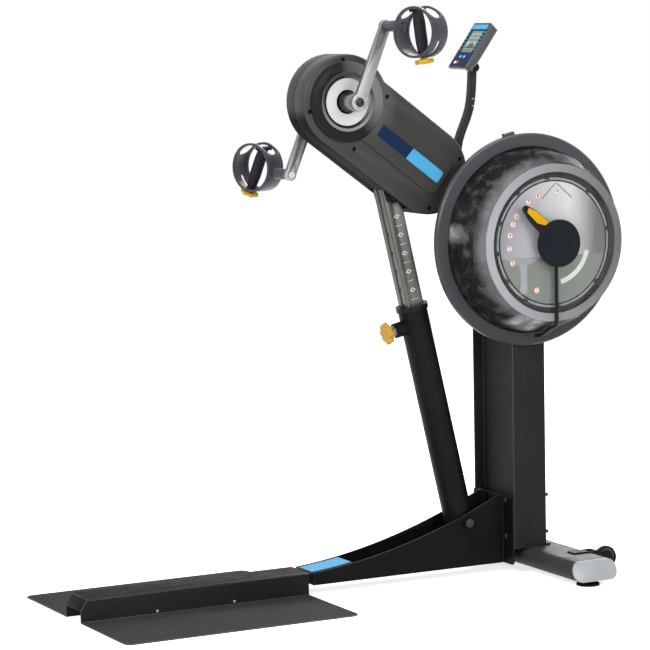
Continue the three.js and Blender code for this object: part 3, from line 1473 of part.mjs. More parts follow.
function crankAxle() {
  const half = [
    [SHAFT_RADIUS, BUSH_START],
    [BUSH_RADIUS, BUSH_START],
    [BUSH_RADIUS, BUSH_END],
    [HUB_RADIUS, BUSH_END],
    [HUB_RADIUS, COLLAR_START],
    [CRANK_COLLAR_RADIUS, COLLAR_START],
    [CRANK_COLLAR_RADIUS, crankInner - GAP],
    [SQUARE_RADIUS, crankInner - GAP],
    [SQUARE_RADIUS, crankOuter + GAP],
    [0, crankOuter + GAP],
  ];
  const other = half.map(([radius, along]) => [radius, -along]).reverse();
  return turned([...other, ...half], ROUND_SIDES);
}

function drivePulley() {
  const bore = boreFor(SHAFT_RADIUS);
  const rimInner = PULLEY_RADIUS - PULLEY_RIM;
  const hubEnd = FRAME_INNER - GAP;
  const wheel = turnedRing([
    [bore, -hubEnd],
    [PULLEY_HUB_RADIUS, -hubEnd],
    [PULLEY_HUB_RADIUS, -PULLEY_WEB_HALF],
    [rimInner, -PULLEY_WEB_HALF],
    [rimInner, -PULLEY_HALF_WIDTH],
    [PULLEY_RADIUS, -PULLEY_HALF_WIDTH],
    [PULLEY_RADIUS, PULLEY_HALF_WIDTH],
    [rimInner, PULLEY_HALF_WIDTH],
    [rimInner, PULLEY_WEB_HALF],
    [PULLEY_HUB_RADIUS, PULLEY_WEB_HALF],
    [PULLEY_HUB_RADIUS, hubEnd],
    [bore, hubEnd],
  ]);
  const holeCircle = (PULLEY_HUB_RADIUS + rimInner) / 2;
  const holes = [];
  for (let hole = 0; hole < PULLEY_HOLES; hole += 1) {
    const angle = (hole / PULLEY_HOLES) * 2 * Math.PI;
    holes.push(crossRod(
      PULLEY_HOLE_RADIUS,
      holeCircle * Math.cos(angle),
      holeCircle * Math.sin(angle),
      -PULLEY_HALF_WIDTH,
      PULLEY_HALF_WIDTH,
      ROUND_SIDES / 2,
    ));
  }
  return cut(wheel, ...holes);
}

// A crank along +Z with its inner face towards the machine, at positive Y
function crank() {
  const outline = polygon([
    [-CRANK_ROOT_HALF, 0],
    [CRANK_ROOT_HALF, 0],
    [CRANK_TIP_HALF, CRANK_LENGTH],
    [-CRANK_TIP_HALF, CRANK_LENGTH],
  ]);
  const bar = sidePlate(outline, crankInner, crankOuter);
  const eye = crossRod(CRANK_EYE, 0, 0, crankInner, crankOuter);
  const tip = crossRod(CRANK_TIP, 0, CRANK_LENGTH, crankInner, crankOuter);
  const grooveStart = CRANK_EYE + CRANK_GROOVE_MARGIN;
  const grooveEnd = CRANK_LENGTH - CRANK_TIP - CRANK_GROOVE_MARGIN;
  const groove = sidePlate(
    roundedRect(-CRANK_GROOVE_HALF, CRANK_GROOVE_HALF, grooveStart, grooveEnd, CRANK_GROOVE_HALF),
    crankInner - OVERRUN,
    crankInner + CRANK_GROOVE_DEPTH,
  );
  const square = crossRod(boreFor(SQUARE_RADIUS), 0, 0, crankInner - OVERRUN, crankOuter + OVERRUN);
  const bore = crossRod(
    boreFor(SPINDLE_RADIUS), 0, CRANK_LENGTH, crankInner - OVERRUN, crankOuter + OVERRUN,
  );
  return cut(join(bar, eye, tip), groove, square, bore);
}

function spindle() {
  const seat = crankInner - GAP;
  const end = boreEnd - GAP;
  const head = crossRod(SPINDLE_HEAD_RADIUS, 0, CRANK_LENGTH, seat - SPINDLE_HEAD, seat);
  return join(head, crossRod(SPINDLE_RADIUS, 0, CRANK_LENGTH, seat, end));
}

// Where a spindle ends inside its cage boss
const boreEnd = RING_SIDE - (RING_RADIUS - RING_WALL) * Math.cos(RING_TOE) + DOME_REACH / 2;
const turnToFarSide = (geometry) => weld(geometry.clone().rotateY(Math.PI));

add(cranks, 'crank_axle', crankAxle(), silver);
add(cranks, 'drive_pulley', drivePulley(), blackPlastic);
add(cranks, 'crank_near', mirrorAcross(crank()), silver);
add(cranks, 'crank_far', turnToFarSide(crank()), silver);
add(cranks, 'spindle_near', mirrorAcross(spindle()), silver);
add(cranks, 'spindle_far', turnToFarSide(spindle()), silver);

// Handle cage on the near side, drawn from its spindle; the ring's axis is toed about Z
function ringPlace(geometry, drop) {
  return geometry.rotateZ(RING_TOE).translate(RING_FORWARD, -RING_SIDE, drop);
}

// A wedge of the ring between two angles, zero outboard and a quarter turn up
function ringWedge(from, to, halfWidth) {
  const reach = RING_RADIUS + OVERRUN;
  const shape = new THREE.Shape();
  shape.moveTo(0, 0);
  const steps = 2 * ARC_STEPS;
  for (let step = 0; step <= steps; step += 1) {
    const angle = from + (step / steps) * (to - from);
    shape.lineTo(-reach * Math.cos(angle), reach * Math.sin(angle));
  }
  return crossPlate(shape, -halfWidth, halfWidth);
}

// A window round the ring with full round ends, as a list of cutting solids
function ringWindow(from, to, halfWidth) {
  const turn = halfWidth / RING_RADIUS;
  const reach = RING_RADIUS + OVERRUN;
  const ends = [from + turn, to - turn].map((angle) => rod(
    halfWidth,
    point(0, 0, 0),
    point(0, -reach * Math.cos(angle), reach * Math.sin(angle)),
  ));
  return [ringWedge(from + turn, to - turn, halfWidth), ...ends];
}

function cageBand() {
  const inner = RING_RADIUS - RING_WALL;
  const hoopInner = RING_RADIUS - HOOP_DEPTH;
  const webHalf = RING_HALF_WIDTH - HOOP_WIDTH;
  const band = turnedRing([
    [hoopInner, -RING_HALF_WIDTH],
    [RING_RADIUS, -RING_HALF_WIDTH],
    [RING_RADIUS, RING_HALF_WIDTH],
    [hoopInner, RING_HALF_WIDTH],
    [hoopInner, webHalf],
    [inner, webHalf],
    [inner, -webHalf],
    [hoopInner, -webHalf],
  ]).rotateZ(Math.PI / 2);
  return cut(
    band,
    ...ringWindow(WINDOW_START, WINDOW_END, webHalf),
    ...ringWindow(SLOT_START, SLOT_END, SLOT_HALF),
  );
}

function cage(drop) {
  const inner = RING_RADIUS - RING_WALL;
  const start = -crankOuter - BOSS_CLEARANCE;
  const wall = -RING_SIDE + inner * Math.cos(RING_TOE);
  const domeEnd = wall - DOME_REACH;
  const crown = domeEnd + DOME_CROWN;
  const boss = crossRod(BOSS_ROOT_RADIUS, 0, 0, start, wall, ROUND_SIDES, BOSS_RADIUS);
  const inside = ringPlace(
    rod(inner, point(-2 * RING_RADIUS, 0, 0), point(2 * RING_RADIUS, 0, 0), FINE_SIDES),
    drop,
  );
  const band = ringPlace(cageBand(), drop);
  const dome = crossRod(DOME_RADIUS, 0, 0, wall + DOME_REACH, crown);
  const domeTip = crossRod(DOME_RADIUS, 0, 0, crown, domeEnd, ROUND_SIDES, DOME_RADIUS / 2);
  const bore = crossRod(boreFor(SPINDLE_RADIUS), 0, 0, start + OVERRUN, -boreEnd);
  return cut(join(band, cut(boss, inside), dome, domeTip), bore);
}

// Grip bar inside a cage: shoe under the hoops, soft barrel, and a stud through the slot
function grip(tilt) {
  const inner = RING_RADIUS - RING_WALL;
  const half = GRIP_HALF_LENGTH;
  const seat = inner - GRIP_PLAY;
  const barrel = turned([
    [0, -seat],
    [GRIP_END_RADIUS - GRIP_STEP, -seat],
    [GRIP_END_RADIUS - GRIP_STEP, -half],
    [GRIP_END_RADIUS, -half],
    [GRIP_RADIUS, -half / 2],
    [GRIP_RADIUS, half / 2],
    [GRIP_END_RADIUS, half],
    [0, half],
  ], ROUND_SIDES).rotateX(Math.PI / 2);
  const shoeTop = RING_RADIUS - HOOP_DEPTH - SHOE_PLAY;
  const shoe = box(
    point(-RING_HALF_WIDTH + WELD_LAP, -GRIP_SHOE_HALF, half - WELD_LAP),
    point(RING_HALF_WIDTH - WELD_LAP, GRIP_SHOE_HALF, shoeTop),
  );
  const stud = rod(STUD_RADIUS, point(0, 0, -seat), point(0, 0, -knobEnd + 2 * GAP));
  return join(barrel, shoe, stud).rotateX(-tilt);
}

const knobStart = RING_RADIUS + GAP;
const knobEnd = knobStart + KNOB_NECK + KNOB_THICKNESS - 2 * GAP;

function clampKnob(tilt) {
  const low = -knobStart - KNOB_NECK - KNOB_THICKNESS;
  const lobes = floorPlate(
    lobedOutline(KNOB_RADIUS, KNOB_LOBE, KNOB_LOBES), low, -knobStart - KNOB_NECK, KNOB_BEVEL,
  );
  const neckLow = -knobStart - KNOB_NECK - WELD_LAP;
  const neck = rod(KNOB_NECK_RADIUS, point(0, 0, neckLow), point(0, 0, -knobStart));
  const bore = rod(boreFor(STUD_RADIUS), point(0, 0, -knobEnd), point(0, 0, -knobStart + OVERRUN));
  return cut(join(lobes, neck), bore).rotateX(-tilt);
}

for (const [name, tilt, side] of [['near', GRIP_NEAR_TILT, 1], ['far', GRIP_FAR_TILT, -1]]) {
  const drop = -side * RING_DROP;
  const spindlePlace = new THREE.Group();
  const run = side * CRANK_LENGTH * Math.sin(CRANK_ANGLE);
  const rise = side * CRANK_LENGTH * Math.cos(CRANK_ANGLE);
  spindlePlace.position.set(crankX + run, 0, crankZ + rise);
  spindlePlace.rotation.z = side > 0 ? 0 : Math.PI;
  machine.add(spindlePlace);
  add(spindlePlace, `cage_${name}`, cage(drop), cageGrey);
  add(spindlePlace, `grip_${name}`, ringPlace(grip(tilt), drop), gripBlack);
  add(spindlePlace, `clamp_knob_${name}`, ringPlace(clampKnob(tilt), drop), yellow);
}

// Mast, drawn from its foot bolt: +Z up the mast, -X towards the user
const mast = new THREE.Group();
mast.position.set(MAST_FOOT_X, 0, MAST_FOOT_Z);
mast.rotation.y = -mastLean;
machine.add(mast);

function mastTube() {
  const inner = TUBE_RADIUS - TUBE_WALL;
  const bossEnd = -TUBE_RADIUS - PIN_BOSS_LENGTH;
  const outside = rod(TUBE_RADIUS, point(0, 0, TUBE_BOTTOM), point(0, 0, TUBE_TOP), FINE_SIDES);
  const below = point(0, 0, TUBE_BOTTOM - OVERRUN);
  const inside = rod(inner, below, point(0, 0, TUBE_TOP + OVERRUN), FINE_SIDES);
  const boss = rod(PIN_BOSS_RADIUS, point(0, 0, PIN_HEIGHT), point(bossEnd, 0, PIN_HEIGHT));
  const pinWay = rod(
    PIN_RADIUS + GAP + TUBE_WALL + GAP,
    point(-POST_HALF_DEPTH, 0, PIN_HEIGHT),
    point(bossEnd - OVERRUN, 0, PIN_HEIGHT),
  );
  const footPlay = crossRod(
    FOOT_BOLT_RADIUS + FOOT_PLAY, 0, 0, -TUBE_RADIUS - OVERRUN, TUBE_RADIUS + OVERRUN,
  );
  return cut(join(outside, boss), inside, pinWay, footPlay);
}

function postOutline(grow) {
  return roundedRect(
    -POST_HALF_DEPTH - grow,
    POST_HALF_DEPTH + grow,
    -POST_HALF_WIDTH - grow,
    POST_HALF_WIDTH + grow,
    Math.max(POST_CORNER + grow, POST_CORNER / 3),
  );
}

function mastCollar() {
  const low = TUBE_TOP + GAP;
  const spigotRadius = TUBE_RADIUS - TUBE_WALL - GAP;
  const lip = rod(COLLAR_RADIUS, point(0, 0, low), point(0, 0, low + COLLAR_LIP), FINE_SIDES);
  const spigotLow = point(0, 0, low - COLLAR_SPIGOT);
  const spigot = rod(spigotRadius, spigotLow, point(0, 0, low + WELD_LAP), FINE_SIDES);
  const way = floorPlate(postOutline(GAP), low - COLLAR_SPIGOT - OVERRUN, low + COLLAR_LIP + OVERRUN);
  return cut(join(lip, spigot), way);
}

function mastPost() {
  const outside = floorPlate(postOutline(0), POST_BOTTOM, postTop);
  const inside = floorPlate(postOutline(-POST_WALL), POST_BOTTOM - OVERRUN, postTop + OVERRUN);
  const front = -POST_HALF_DEPTH;
  const low = POST_BOTTOM - OVERRUN;
  const high = postTop + OVERRUN;
  const groove = box(
    point(front - OVERRUN, -GROOVE_HALF, low),
    point(front + GROOVE_DEPTH, GROOVE_HALF, high),
  );
  const edges = [-1, 1].map((side) => {
    const outer = side * (POST_HALF_WIDTH - POST_CORNER);
    const inner = side * (POST_HALF_WIDTH - POST_CORNER - EDGE_GROOVE);
    return box(
      point(front - OVERRUN, Math.min(outer, inner), low),
      point(front + EDGE_GROOVE, Math.max(outer, inner), high),
    );
  });
  const holes = [];
  for (let hole = 0; hole < HOLE_COUNT; hole += 1) {
    const height = PIN_HEIGHT + hole * HOLE_PITCH;
    holes.push(rod(HOLE_RADIUS, point(front - OVERRUN, 0, height), point(0, 0, height), ROUND_SIDES / 2));
  }
  const pivot = crossRod(
    boreFor(PIVOT_BOLT_RADIUS), 0, mastLength, -POST_HALF_WIDTH - OVERRUN, POST_HALF_WIDTH + OVERRUN,
  );
  return cut(outside, inside, groove, ...edges, ...holes, pivot);
}

function postCap() {
  const low = postTop + GAP;
  return floorPlate(postOutline(0), low, low + POST_CAP, POST_CAP_BEVEL);
}

// Pull pin: nose nut on the boss, then the pin with its knob
function pinNose() {
  const start = -TUBE_RADIUS - PIN_BOSS_LENGTH - GAP;
  const bushRadius = PIN_RADIUS + GAP + TUBE_WALL;
  const nose = rod(
    PIN_NOSE_RADIUS,
    point(start, 0, PIN_HEIGHT),
    point(start - PIN_NOSE_LENGTH, 0, PIN_HEIGHT),
    PIN_NOSE_SIDES,
  );
  const bush = rod(bushRadius, point(start - WELD_LAP, 0, PIN_HEIGHT), point(-TUBE_RADIUS, 0, PIN_HEIGHT));
  const bore = rod(
    boreFor(PIN_RADIUS), point(0, 0, PIN_HEIGHT), point(start - PIN_NOSE_LENGTH - OVERRUN, 0, PIN_HEIGHT),
  );
  return cut(join(nose, bush), bore);
}

const pullKnobFront = -TUBE_RADIUS - PIN_BOSS_LENGTH - PIN_NOSE_LENGTH - PULL_KNOB_STANDOFF;

function pullPin() {
  const tip = -POST_HALF_DEPTH + GROOVE_DEPTH - GAP;
  const end = pullKnobFront - PULL_KNOB_THICKNESS / 2;
  const shank = rod(PIN_RADIUS, point(tip, 0, PIN_HEIGHT), point(end, 0, PIN_HEIGHT));
  const disc = crossPlate(
    lobedOutline(PULL_KNOB_RADIUS, PULL_KNOB_LOBE, PULL_KNOB_LOBES),
    pullKnobFront - PULL_KNOB_THICKNESS,
    pullKnobFront,
    PULL_KNOB_BEVEL,
  ).translate(0, 0, PIN_HEIGHT);
  return join(shank, disc);
}

add(mast, 'mast_tube', mastTube(), blackSteel);
add(mast, 'mast_collar', mastCollar(), blackPlastic);
add(mast, 'mast_post', mastPost(), silver);
add(mast, 'post_cap', postCap(), blackPlastic);
add(mast, 'pin_nose', pinNose(), silver);
add(mast, 'pull_pin', pullPin(), yellow);

function footBolt() {
  const seat = CHANNEL_HALF_WIDTH + GAP;
  const shank = crossRod(FOOT_BOLT_RADIUS, MAST_FOOT_X, MAST_FOOT_Z, -seat, seat);
  const heads = [-1, 1].map((side) => crossRod(
    FOOT_BOLT_HEAD_RADIUS,
    MAST_FOOT_X,
    MAST_FOOT_Z,
    side * seat,
    side * (seat + FOOT_BOLT_HEAD),
    FOOT_BOLT_HEAD_SIDES,
  ));
  return join(shank, ...heads);
}

add(machine, 'mast_foot_bolt', footBolt(), silver);

export default machine;
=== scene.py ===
import json
import math
from collections import Counter

import bmesh
import bpy
from mathutils import Matrix, Vector
from mathutils.bvhtree import BVHTree

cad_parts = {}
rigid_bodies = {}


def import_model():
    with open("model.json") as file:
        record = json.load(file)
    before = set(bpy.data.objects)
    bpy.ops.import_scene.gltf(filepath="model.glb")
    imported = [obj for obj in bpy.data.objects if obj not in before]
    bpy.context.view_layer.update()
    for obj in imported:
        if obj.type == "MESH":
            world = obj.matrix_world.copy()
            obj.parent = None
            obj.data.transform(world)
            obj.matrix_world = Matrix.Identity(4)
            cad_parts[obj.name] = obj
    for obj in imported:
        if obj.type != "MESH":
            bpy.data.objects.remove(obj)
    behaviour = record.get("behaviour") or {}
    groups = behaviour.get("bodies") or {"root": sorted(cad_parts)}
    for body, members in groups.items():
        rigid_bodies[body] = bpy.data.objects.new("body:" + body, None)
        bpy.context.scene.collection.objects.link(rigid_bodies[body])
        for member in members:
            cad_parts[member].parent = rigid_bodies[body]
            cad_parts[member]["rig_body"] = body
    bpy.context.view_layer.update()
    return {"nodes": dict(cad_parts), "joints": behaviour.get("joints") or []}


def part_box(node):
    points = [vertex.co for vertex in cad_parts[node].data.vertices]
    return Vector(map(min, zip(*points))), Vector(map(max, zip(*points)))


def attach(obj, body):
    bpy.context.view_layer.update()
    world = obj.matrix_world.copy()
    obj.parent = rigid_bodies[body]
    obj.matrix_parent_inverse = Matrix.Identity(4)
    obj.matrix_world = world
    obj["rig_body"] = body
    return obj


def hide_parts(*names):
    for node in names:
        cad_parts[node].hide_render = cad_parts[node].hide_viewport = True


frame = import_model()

nodes = frame["nodes"]
joints = {joint["name"]: joint for joint in frame["joints"]}

# Places and directions taken from the frame
UP = Vector((0, 0, 1))
ACROSS = Vector((0, 1, 0))
brake = Vector(joints["arm_tilt"]["pos_m"])
crank = Vector(joints["crank_turn"]["pos_m"])
mast_up = Vector(joints["mast_slide"]["axis"])
console_hinge = Vector(joints["console_tilt"]["pos_m"])
face_in = Vector(joints["press_up"]["axis"])
foot_bolt = sum(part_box("mast_foot_bolt"), Vector()) / 2

# The machine's two sides, and which way along Y a line runs to meet each of them from outside
SIDES = (("near", 1), ("far", -1))
OUTSIDE = 0.3

# Stage. Lamps: name, place, target, size and power
FLOOR_RADIUS = 14
FLOOR_GLOW = 0.72
WORLD_TINT = (0.93, 0.96, 1)
WORLD_STRENGTH = 0.42
LAMPS = (
    ("key", (-5.5, -3.2, 4.2), (0, 0, 0.9), (2.6, 2.6), 330),
    ("front", (0.6, -6.0, 2.6), (0.1, 0, 0.8), (3.0, 2.4), 150),
    ("top", (0.3, -0.4, 5.2), (0.1, 0, 0), (3.4, 3.4), 160),
    ("rim", (3.6, 3.4, 3.2), (0.2, 0, 0.9), (1.8, 2.4), 150),
)

# Camera, fitted to the photograph
IMAGE_SIDE = 650
FOCAL_PIXELS = 2882.3
SENSOR = 36
VIEW_END = 100
CAMERA_PLACE = (-3.4207, -6.6179, 1.5383)
CAMERA_YAW = 0.471
CAMERA_PITCH = 0.113
CAMERA_ROLL = 0.020

# Looks: rubbed patches' share of roughness, and the full part of a soft sector
RUBBED = 0.07
SECTOR_CORE = 0.2

# Sizes shared by several pieces, in metres
FILM = 0.0004
PRINT = 0.0001
LATHE_STEPS = 64
WIDE_STEPS = 96
CAP_STEPS = 32
SMALL_STEPS = 24
TURN_CUTS = 3
FINE_SIDES = 32
TREAD_TOP = 0.0032
MATCH = 0.00001

# Widths of the eased edges of the nodes' own shapes
EASED = {
    "platform_near": 0.0007, "platform_far": 0.0007, "platform_cover": 0.0015,
    "base_channel": 0.0008, "column": 0.0012, "stabilizer": 0.0015,
    "stabilizer_cap_near": 0.0012, "stabilizer_cap_far": 0.0012,
    "housing_near": 0.0012, "housing_far": 0.0012, "arm_frame": 0.0008,
    "crank_near": 0.0016, "crank_far": 0.0016, "cage_near": 0.0014, "cage_far": 0.0014,
    "console_body": 0.0018, "console_stem": 0.0014, "mast_post": 0.0006,
    "clamp_knob_near": 0.001, "clamp_knob_far": 0.001,
}
TANK_TURNED = (
    "tank_back", "tank_clamp_ring", "tank_bowl", "tank_face", "tank_seal", "tank_reservoir",
    "dial_boss",
)

# Profiles are pairs of radius and place along the piece's own Y, whose front looks along -Y.
# Button-headed bolt: shares of its head's radius, across and out; its socket's floor is last
BOLT_PROFILE = (
    (1.35, 0), (1.35, 0.18), (1, 0.22), (1, 0.375), (0.86, 0.6375), (0.62, 0.75), (0.45, 0.75),
    (0.45, 0.3375),
)
COLUMN_BOLT = (
    (0.0068, 0), (0.0068, -0.0012), (0.005, -0.0014), (0.005, -0.0078), (0.0042, -0.0088),
    (0.0028, -0.0088),
)

# Housing, along and above the arm's centre line from the crank
DISC_RADIUS = 0.104
DISC_START = 0.0506
SCREW_PLACES = (
    (-0.0715, 0.0815), (-0.0715, -0.0815), (0.089, 0.079), (0.089, -0.085), (0.362, 0.0715),
    (0.362, -0.0845),
)
SCREW_RADIUS = 0.0058
BUSH_END = 0.0682
CRANK_BOLT_RADIUS = 0.0085
LABEL_START = 0.12
LABEL_SPLIT = 0.229
LABEL_END = 0.34
LABEL_LOW = -0.020
LABEL_HIGH = 0.014
LABEL_SLANT = 0.004
LABEL_DARK = (
    (LABEL_START, LABEL_LOW), (LABEL_SPLIT - LABEL_SLANT, LABEL_LOW), (LABEL_SPLIT, LABEL_HIGH),
    (LABEL_START, LABEL_HIGH),
)
LABEL_LIGHT = (
    (LABEL_SPLIT - LABEL_SLANT, LABEL_LOW), (LABEL_END - LABEL_SLANT, LABEL_LOW),
    (LABEL_END, LABEL_LOW + LABEL_SLANT), (LABEL_END, LABEL_HIGH - LABEL_SLANT),
    (LABEL_END - LABEL_SLANT, LABEL_HIGH), (LABEL_SPLIT, LABEL_HIGH),
)

# Rim round a hub trim: distance past the trim's edge, and out of the housing
TRIM_BEVEL = ((0.0012, 0), (0.0012, 0.0004), (0.0082, 0.0028), (0.009, 0.002), (0.009, 0))
TRIM_CLEAR = 0.005

# Tank, from the brake's axis. Painted reflections on the bowl: direction, half width, and where
# they start and end
WATER_LEVEL = -0.036
BACK_FRONT = 0.109
BOWL_FILM = 0.3
SHOULDER_START = 0.205
SHOULDER_END = 0.238
PAINTED_BOWL_REFLECTIONS = ((257, 8, 0.15, 0.185), (246, 7, 0.16, 0.2), (173, 7, 0.2, 0.135))
LEVER_ANGLE = math.radians(137)
RESERVOIR_SEAL = ((0.1728, -0.2382), (0.1728, -0.2421), (0.1692, -0.2421), (0.1692, -0.2382))
RESERVOIR_FLANGE = ((0.169, -0.2395), (0.169, -0.2412), (0.1632, -0.2416), (0.1632, -0.2395))
BOSS_SLEEVE = ((0.0445, -0.2476), (0.0445, -0.2664), (0.042, -0.2664), (0.042, -0.2476))
CLIP_ANGLES = (95, 128, 160, 187, 214, 240, 275, 320, 10, 50)
CLIP_SIZE = (0.0115, 0.013, 0.002)
CLIP_RADIUS = 0.1697
CLIP_BACK = -0.2366
CLIP_THICKNESS = 0.0062
CLIP_EDGE = 0.0008

# Dial, across and above the brake's axis. Bars: name, start, end, width and look
NUMBER_ANGLES = (247, 201, 184, 169, 156, 146, 124, 110, 84)
NUMBER_RADIUS = 0.132
NUMBER_SIZE = 0.0125
NUMBER_WEIGHT = NUMBER_SIZE / 40
NUMBER_RING = 0.0078
NUMBER_RING_WIDTH = 0.0017
NUMBER_ARROW = ((-0.0125, 0), (-0.009, 0.0016), (-0.009, -0.0016))
DIAL_BARS = (
    ("strut", (-0.0905, -0.128), (-0.0905, -0.05), 0.021, "grey_print"),
    ("strut_edge", (-0.1005, -0.121), (-0.1005, -0.05), 0.0016, "pale_print"),
    ("seam_left", (0.008, 0.154), (-0.033, 0.115), 0.0028, "smoke_print"),
    ("seam_right", (0.012, 0.154), (0.058, 0.114), 0.0028, "smoke_print"),
)
DIAL_FORK = ((-0.146, WATER_LEVEL), (-0.1, -0.057), (-0.082, -0.057), (-0.037, WATER_LEVEL))
ARC_OUTER = 0.112
ARC_INNER = 0.099
ARC_TURNS = [math.radians(-14 - 4 * step) for step in range(17)]
LEVER_INLAY = (
    (0.0645, -0.0175), (0.109, -0.0150), (0.135, -0.0065), (0.131, 0.0052), (0.088, 0.0062),
    (0.0665, -0.0055),
)
INLAY_SPOT = (0.1, 0)

# Mast, up from its foot bolt. Sizes of marks are width, height and corner
MARK_FIRST = 0.6466
MARK_PITCH = 0.05
MARK_COUNT = 5
MARK_RADIUS = 0.0054
MARK_WIDTH = 0.0018
TICK_SIZE = (0.0035, 0.0014, 0.0005)
TICK_RADIUS = MARK_RADIUS + 0.0018
LINE_SIZE = (0.019, 0.0009, 0.0004)

# Console, across and up its face from the hinge. Sizes of marks are as on the mast
HEADER_SIZE = (0.078, 0.0145, 0.002)
HEADER_HEIGHT = 0.1015
GRAPH_SIZE = (0.052, 0.024, 0.001)
GRAPH_HEIGHT = 0.0445
GRAPH_START = -0.022
GRAPH_FOOT = 0.034
GRAPH_BARS = (5, 8, 6, 10, 14, 17, 13, 19, 16, 11, 8, 12)
GRAPH_BAR_WIDTH = 0.0034
GRAPH_BAR_CORNER = 0.0002
GRAPH_BAR_PITCH = 0.004
GRAPH_STEP = 0.0011
DISPLAY_LINE_SIZE = (0.05, 0.0008, 0.0003)
DISPLAY_LINES = (0.0845, 0.0605)
READING_SIZE = (0.0095, 0.0062, 0.0012)
READING_START = -0.0195
READING_PITCH = 0.013
READING_TOP = 0.0785
READING_DROP = 0.0105
KEY_DOT_SIZE = (0.005, 0.0028, 0.001)
KEY_DOT_SIDE = 0.0372
KEY_DOT_FIRST = 0.03
KEY_DOT_PITCH = 0.011
HINGE_CAP = (
    (0.0118, 0), (0.0118, -0.0024), (0.0106, -0.0034), (0.0086, -0.0034), (0.0078, -0.0012),
)
HINGE_PLUG = ((0.0076, 0), (0.0076, -0.0018), (0.006, -0.0026))
STEM_CLIP_X = 0.392
STEM_CLIP_HEIGHTS = (1.2663, 1.2479)
STEM_CLIP_SIZE = (0.007, 0.0034, 0.001)
STEM_CLIP_THICKNESS = 0.0012
STEM_CLIP_EDGE = 0.0004

# Base, in the frame's own places
LID_PANEL_START = -0.122
LID_PANEL_END = -0.0072
LID_PANEL_HALF = 0.037
PANEL_STEPS = 12
FLANGE_BOLT_START = 0.3
FLANGE_BOLT_SIDE = 0.066
FLANGE_BOLT_HEIGHTS = (0.1, 0.198)
FLANGE_BOLT_RADIUS = 0.0068
COLUMN_BOLT_SIDE = 0.098
COLUMN_BOLT_HEIGHTS = (0.107, 0.2065)
BEAM_BOLT_PLACES = (-0.567, -0.352)
BEAM_BOLT_HEIGHT = 0.0085
BEAM_BOLT_RADIUS = 0.003
WHEEL_RIM_OUTER = 0.0235
WHEEL_RIM_INNER = 0.0195
WHEEL_RIM_MIDDLE = 0.022
WHEEL_RIM_PROUD = 0.0006


def frame_matrix(origin, x_axis, z_axis):
    """A place with its own X and Z directions; Y follows from them."""
    x = x_axis.normalized()
    z = z_axis.normalized()
    y = z.cross(x)
    matrix = Matrix((x, y, z)).transposed().to_4x4()
    matrix.translation = origin
    return matrix


arm_x = (brake - crank).normalized()
arm_up = arm_x.cross(ACROSS)
ARM = frame_matrix(crank, arm_x, arm_up)
MAST = frame_matrix(foot_bolt, ACROSS.cross(mast_up), mast_up)
CONSOLE = frame_matrix(console_hinge, face_in, face_in.cross(ACROSS))
FACE = CONSOLE @ Matrix.Rotation(-math.pi / 2, 4, "Z")
TANK = Matrix.Translation(brake)
CRANK = Matrix.Translation(crank)
LEVER = TANK @ Matrix.Rotation(-LEVER_ANGLE, 4, "Y")


# Materials by the names that pieces give as their looks
LOOKS = {}


# Shader nodes. Each helper adds to the node tree of the socket that it is given
def node_beside(socket, kind, operation=None):
    """A new node in a socket's tree."""
    node = socket.id_data.nodes.new("ShaderNode" + kind)
    if operation is not None:
        node.operation = operation
    return node


def join(output, socket):
    socket.id_data.links.new(output, socket)


def parts_of(look):
    """The shader and the object's own coordinates of a material."""
    material_nodes = LOOKS[look].node_tree.nodes
    coordinates = material_nodes.new("ShaderNodeTexCoord")
    return material_nodes["Principled BSDF"], coordinates.outputs["Object"]


def new_material(name):
    LOOKS[name] = bpy.data.materials.new(name)
    LOOKS[name].use_nodes = True
    return parts_of(name)


def combine(operation, first, second):
    """A math node on two sockets."""
    node = node_beside(first, "Math", operation)
    join(first, node.inputs[0])
    join(second, node.inputs[1])
    return node.outputs[0]


def vector_step(operation, vector, fixed=None):
    """A vector math node on a socket and a fixed vector."""
    node = node_beside(vector, "VectorMath", operation)
    join(vector, node.inputs[0])
    if fixed is not None:
        node.inputs[1].default_value = fixed
    return node.outputs


def noise(vector, scale, detail=3.0, stretch=None):
    if stretch is not None:
        mapping = node_beside(vector, "Mapping")
        mapping.inputs["Scale"].default_value = stretch
        join(vector, mapping.inputs["Vector"])
        vector = mapping.outputs["Vector"]
    texture = node_beside(vector, "TexNoise")
    texture.inputs["Scale"].default_value = scale
    texture.inputs["Detail"].default_value = detail
    join(vector, texture.inputs["Vector"])
    return texture.outputs["Fac"]


def spread(value, low, high, from_low=0.3, from_high=0.7):
    node = node_beside(value, "MapRange")
    node.inputs["From Min"].default_value = from_low
    node.inputs["From Max"].default_value = from_high
    node.inputs["To Min"].default_value = low
    node.inputs["To Max"].default_value = high
    join(value, node.inputs["Value"])
    return node.outputs["Result"]


def clouds(vector, scale, detail=3.0):
    """A soft pattern from 0 to 1."""
    return spread(noise(vector, scale, detail), 0, 1)


def blend_colours(factor, first, second):
    node = node_beside(factor, "Mix")
    node.data_type = "RGBA"
    join(factor, node.inputs["Factor"])
    for socket, value in ((node.inputs[6], first), (node.inputs[7], second)):
        if isinstance(value, tuple):
            socket.default_value = (*value, 1)
        else:
            join(value, socket)
    return node.outputs[2]


def paint(shader, factor, first, second):
    """Base colour from a blend of two colours."""
    join(blend_colours(factor, first, second), shader.inputs["Base Color"])


def dull(shader, value):
    """Roughness from a socket."""
    join(value, shader.inputs["Roughness"])


def roughen(shader, height, strength, distance):
    bump = node_beside(height, "Bump")
    bump.inputs["Strength"].default_value = strength
    bump.inputs["Distance"].default_value = distance
    join(height, bump.inputs["Height"])
    join(bump.outputs["Normal"], shader.inputs["Normal"])


def shade(colour, share):
    return tuple(min(1, channel * share) for channel in colour)


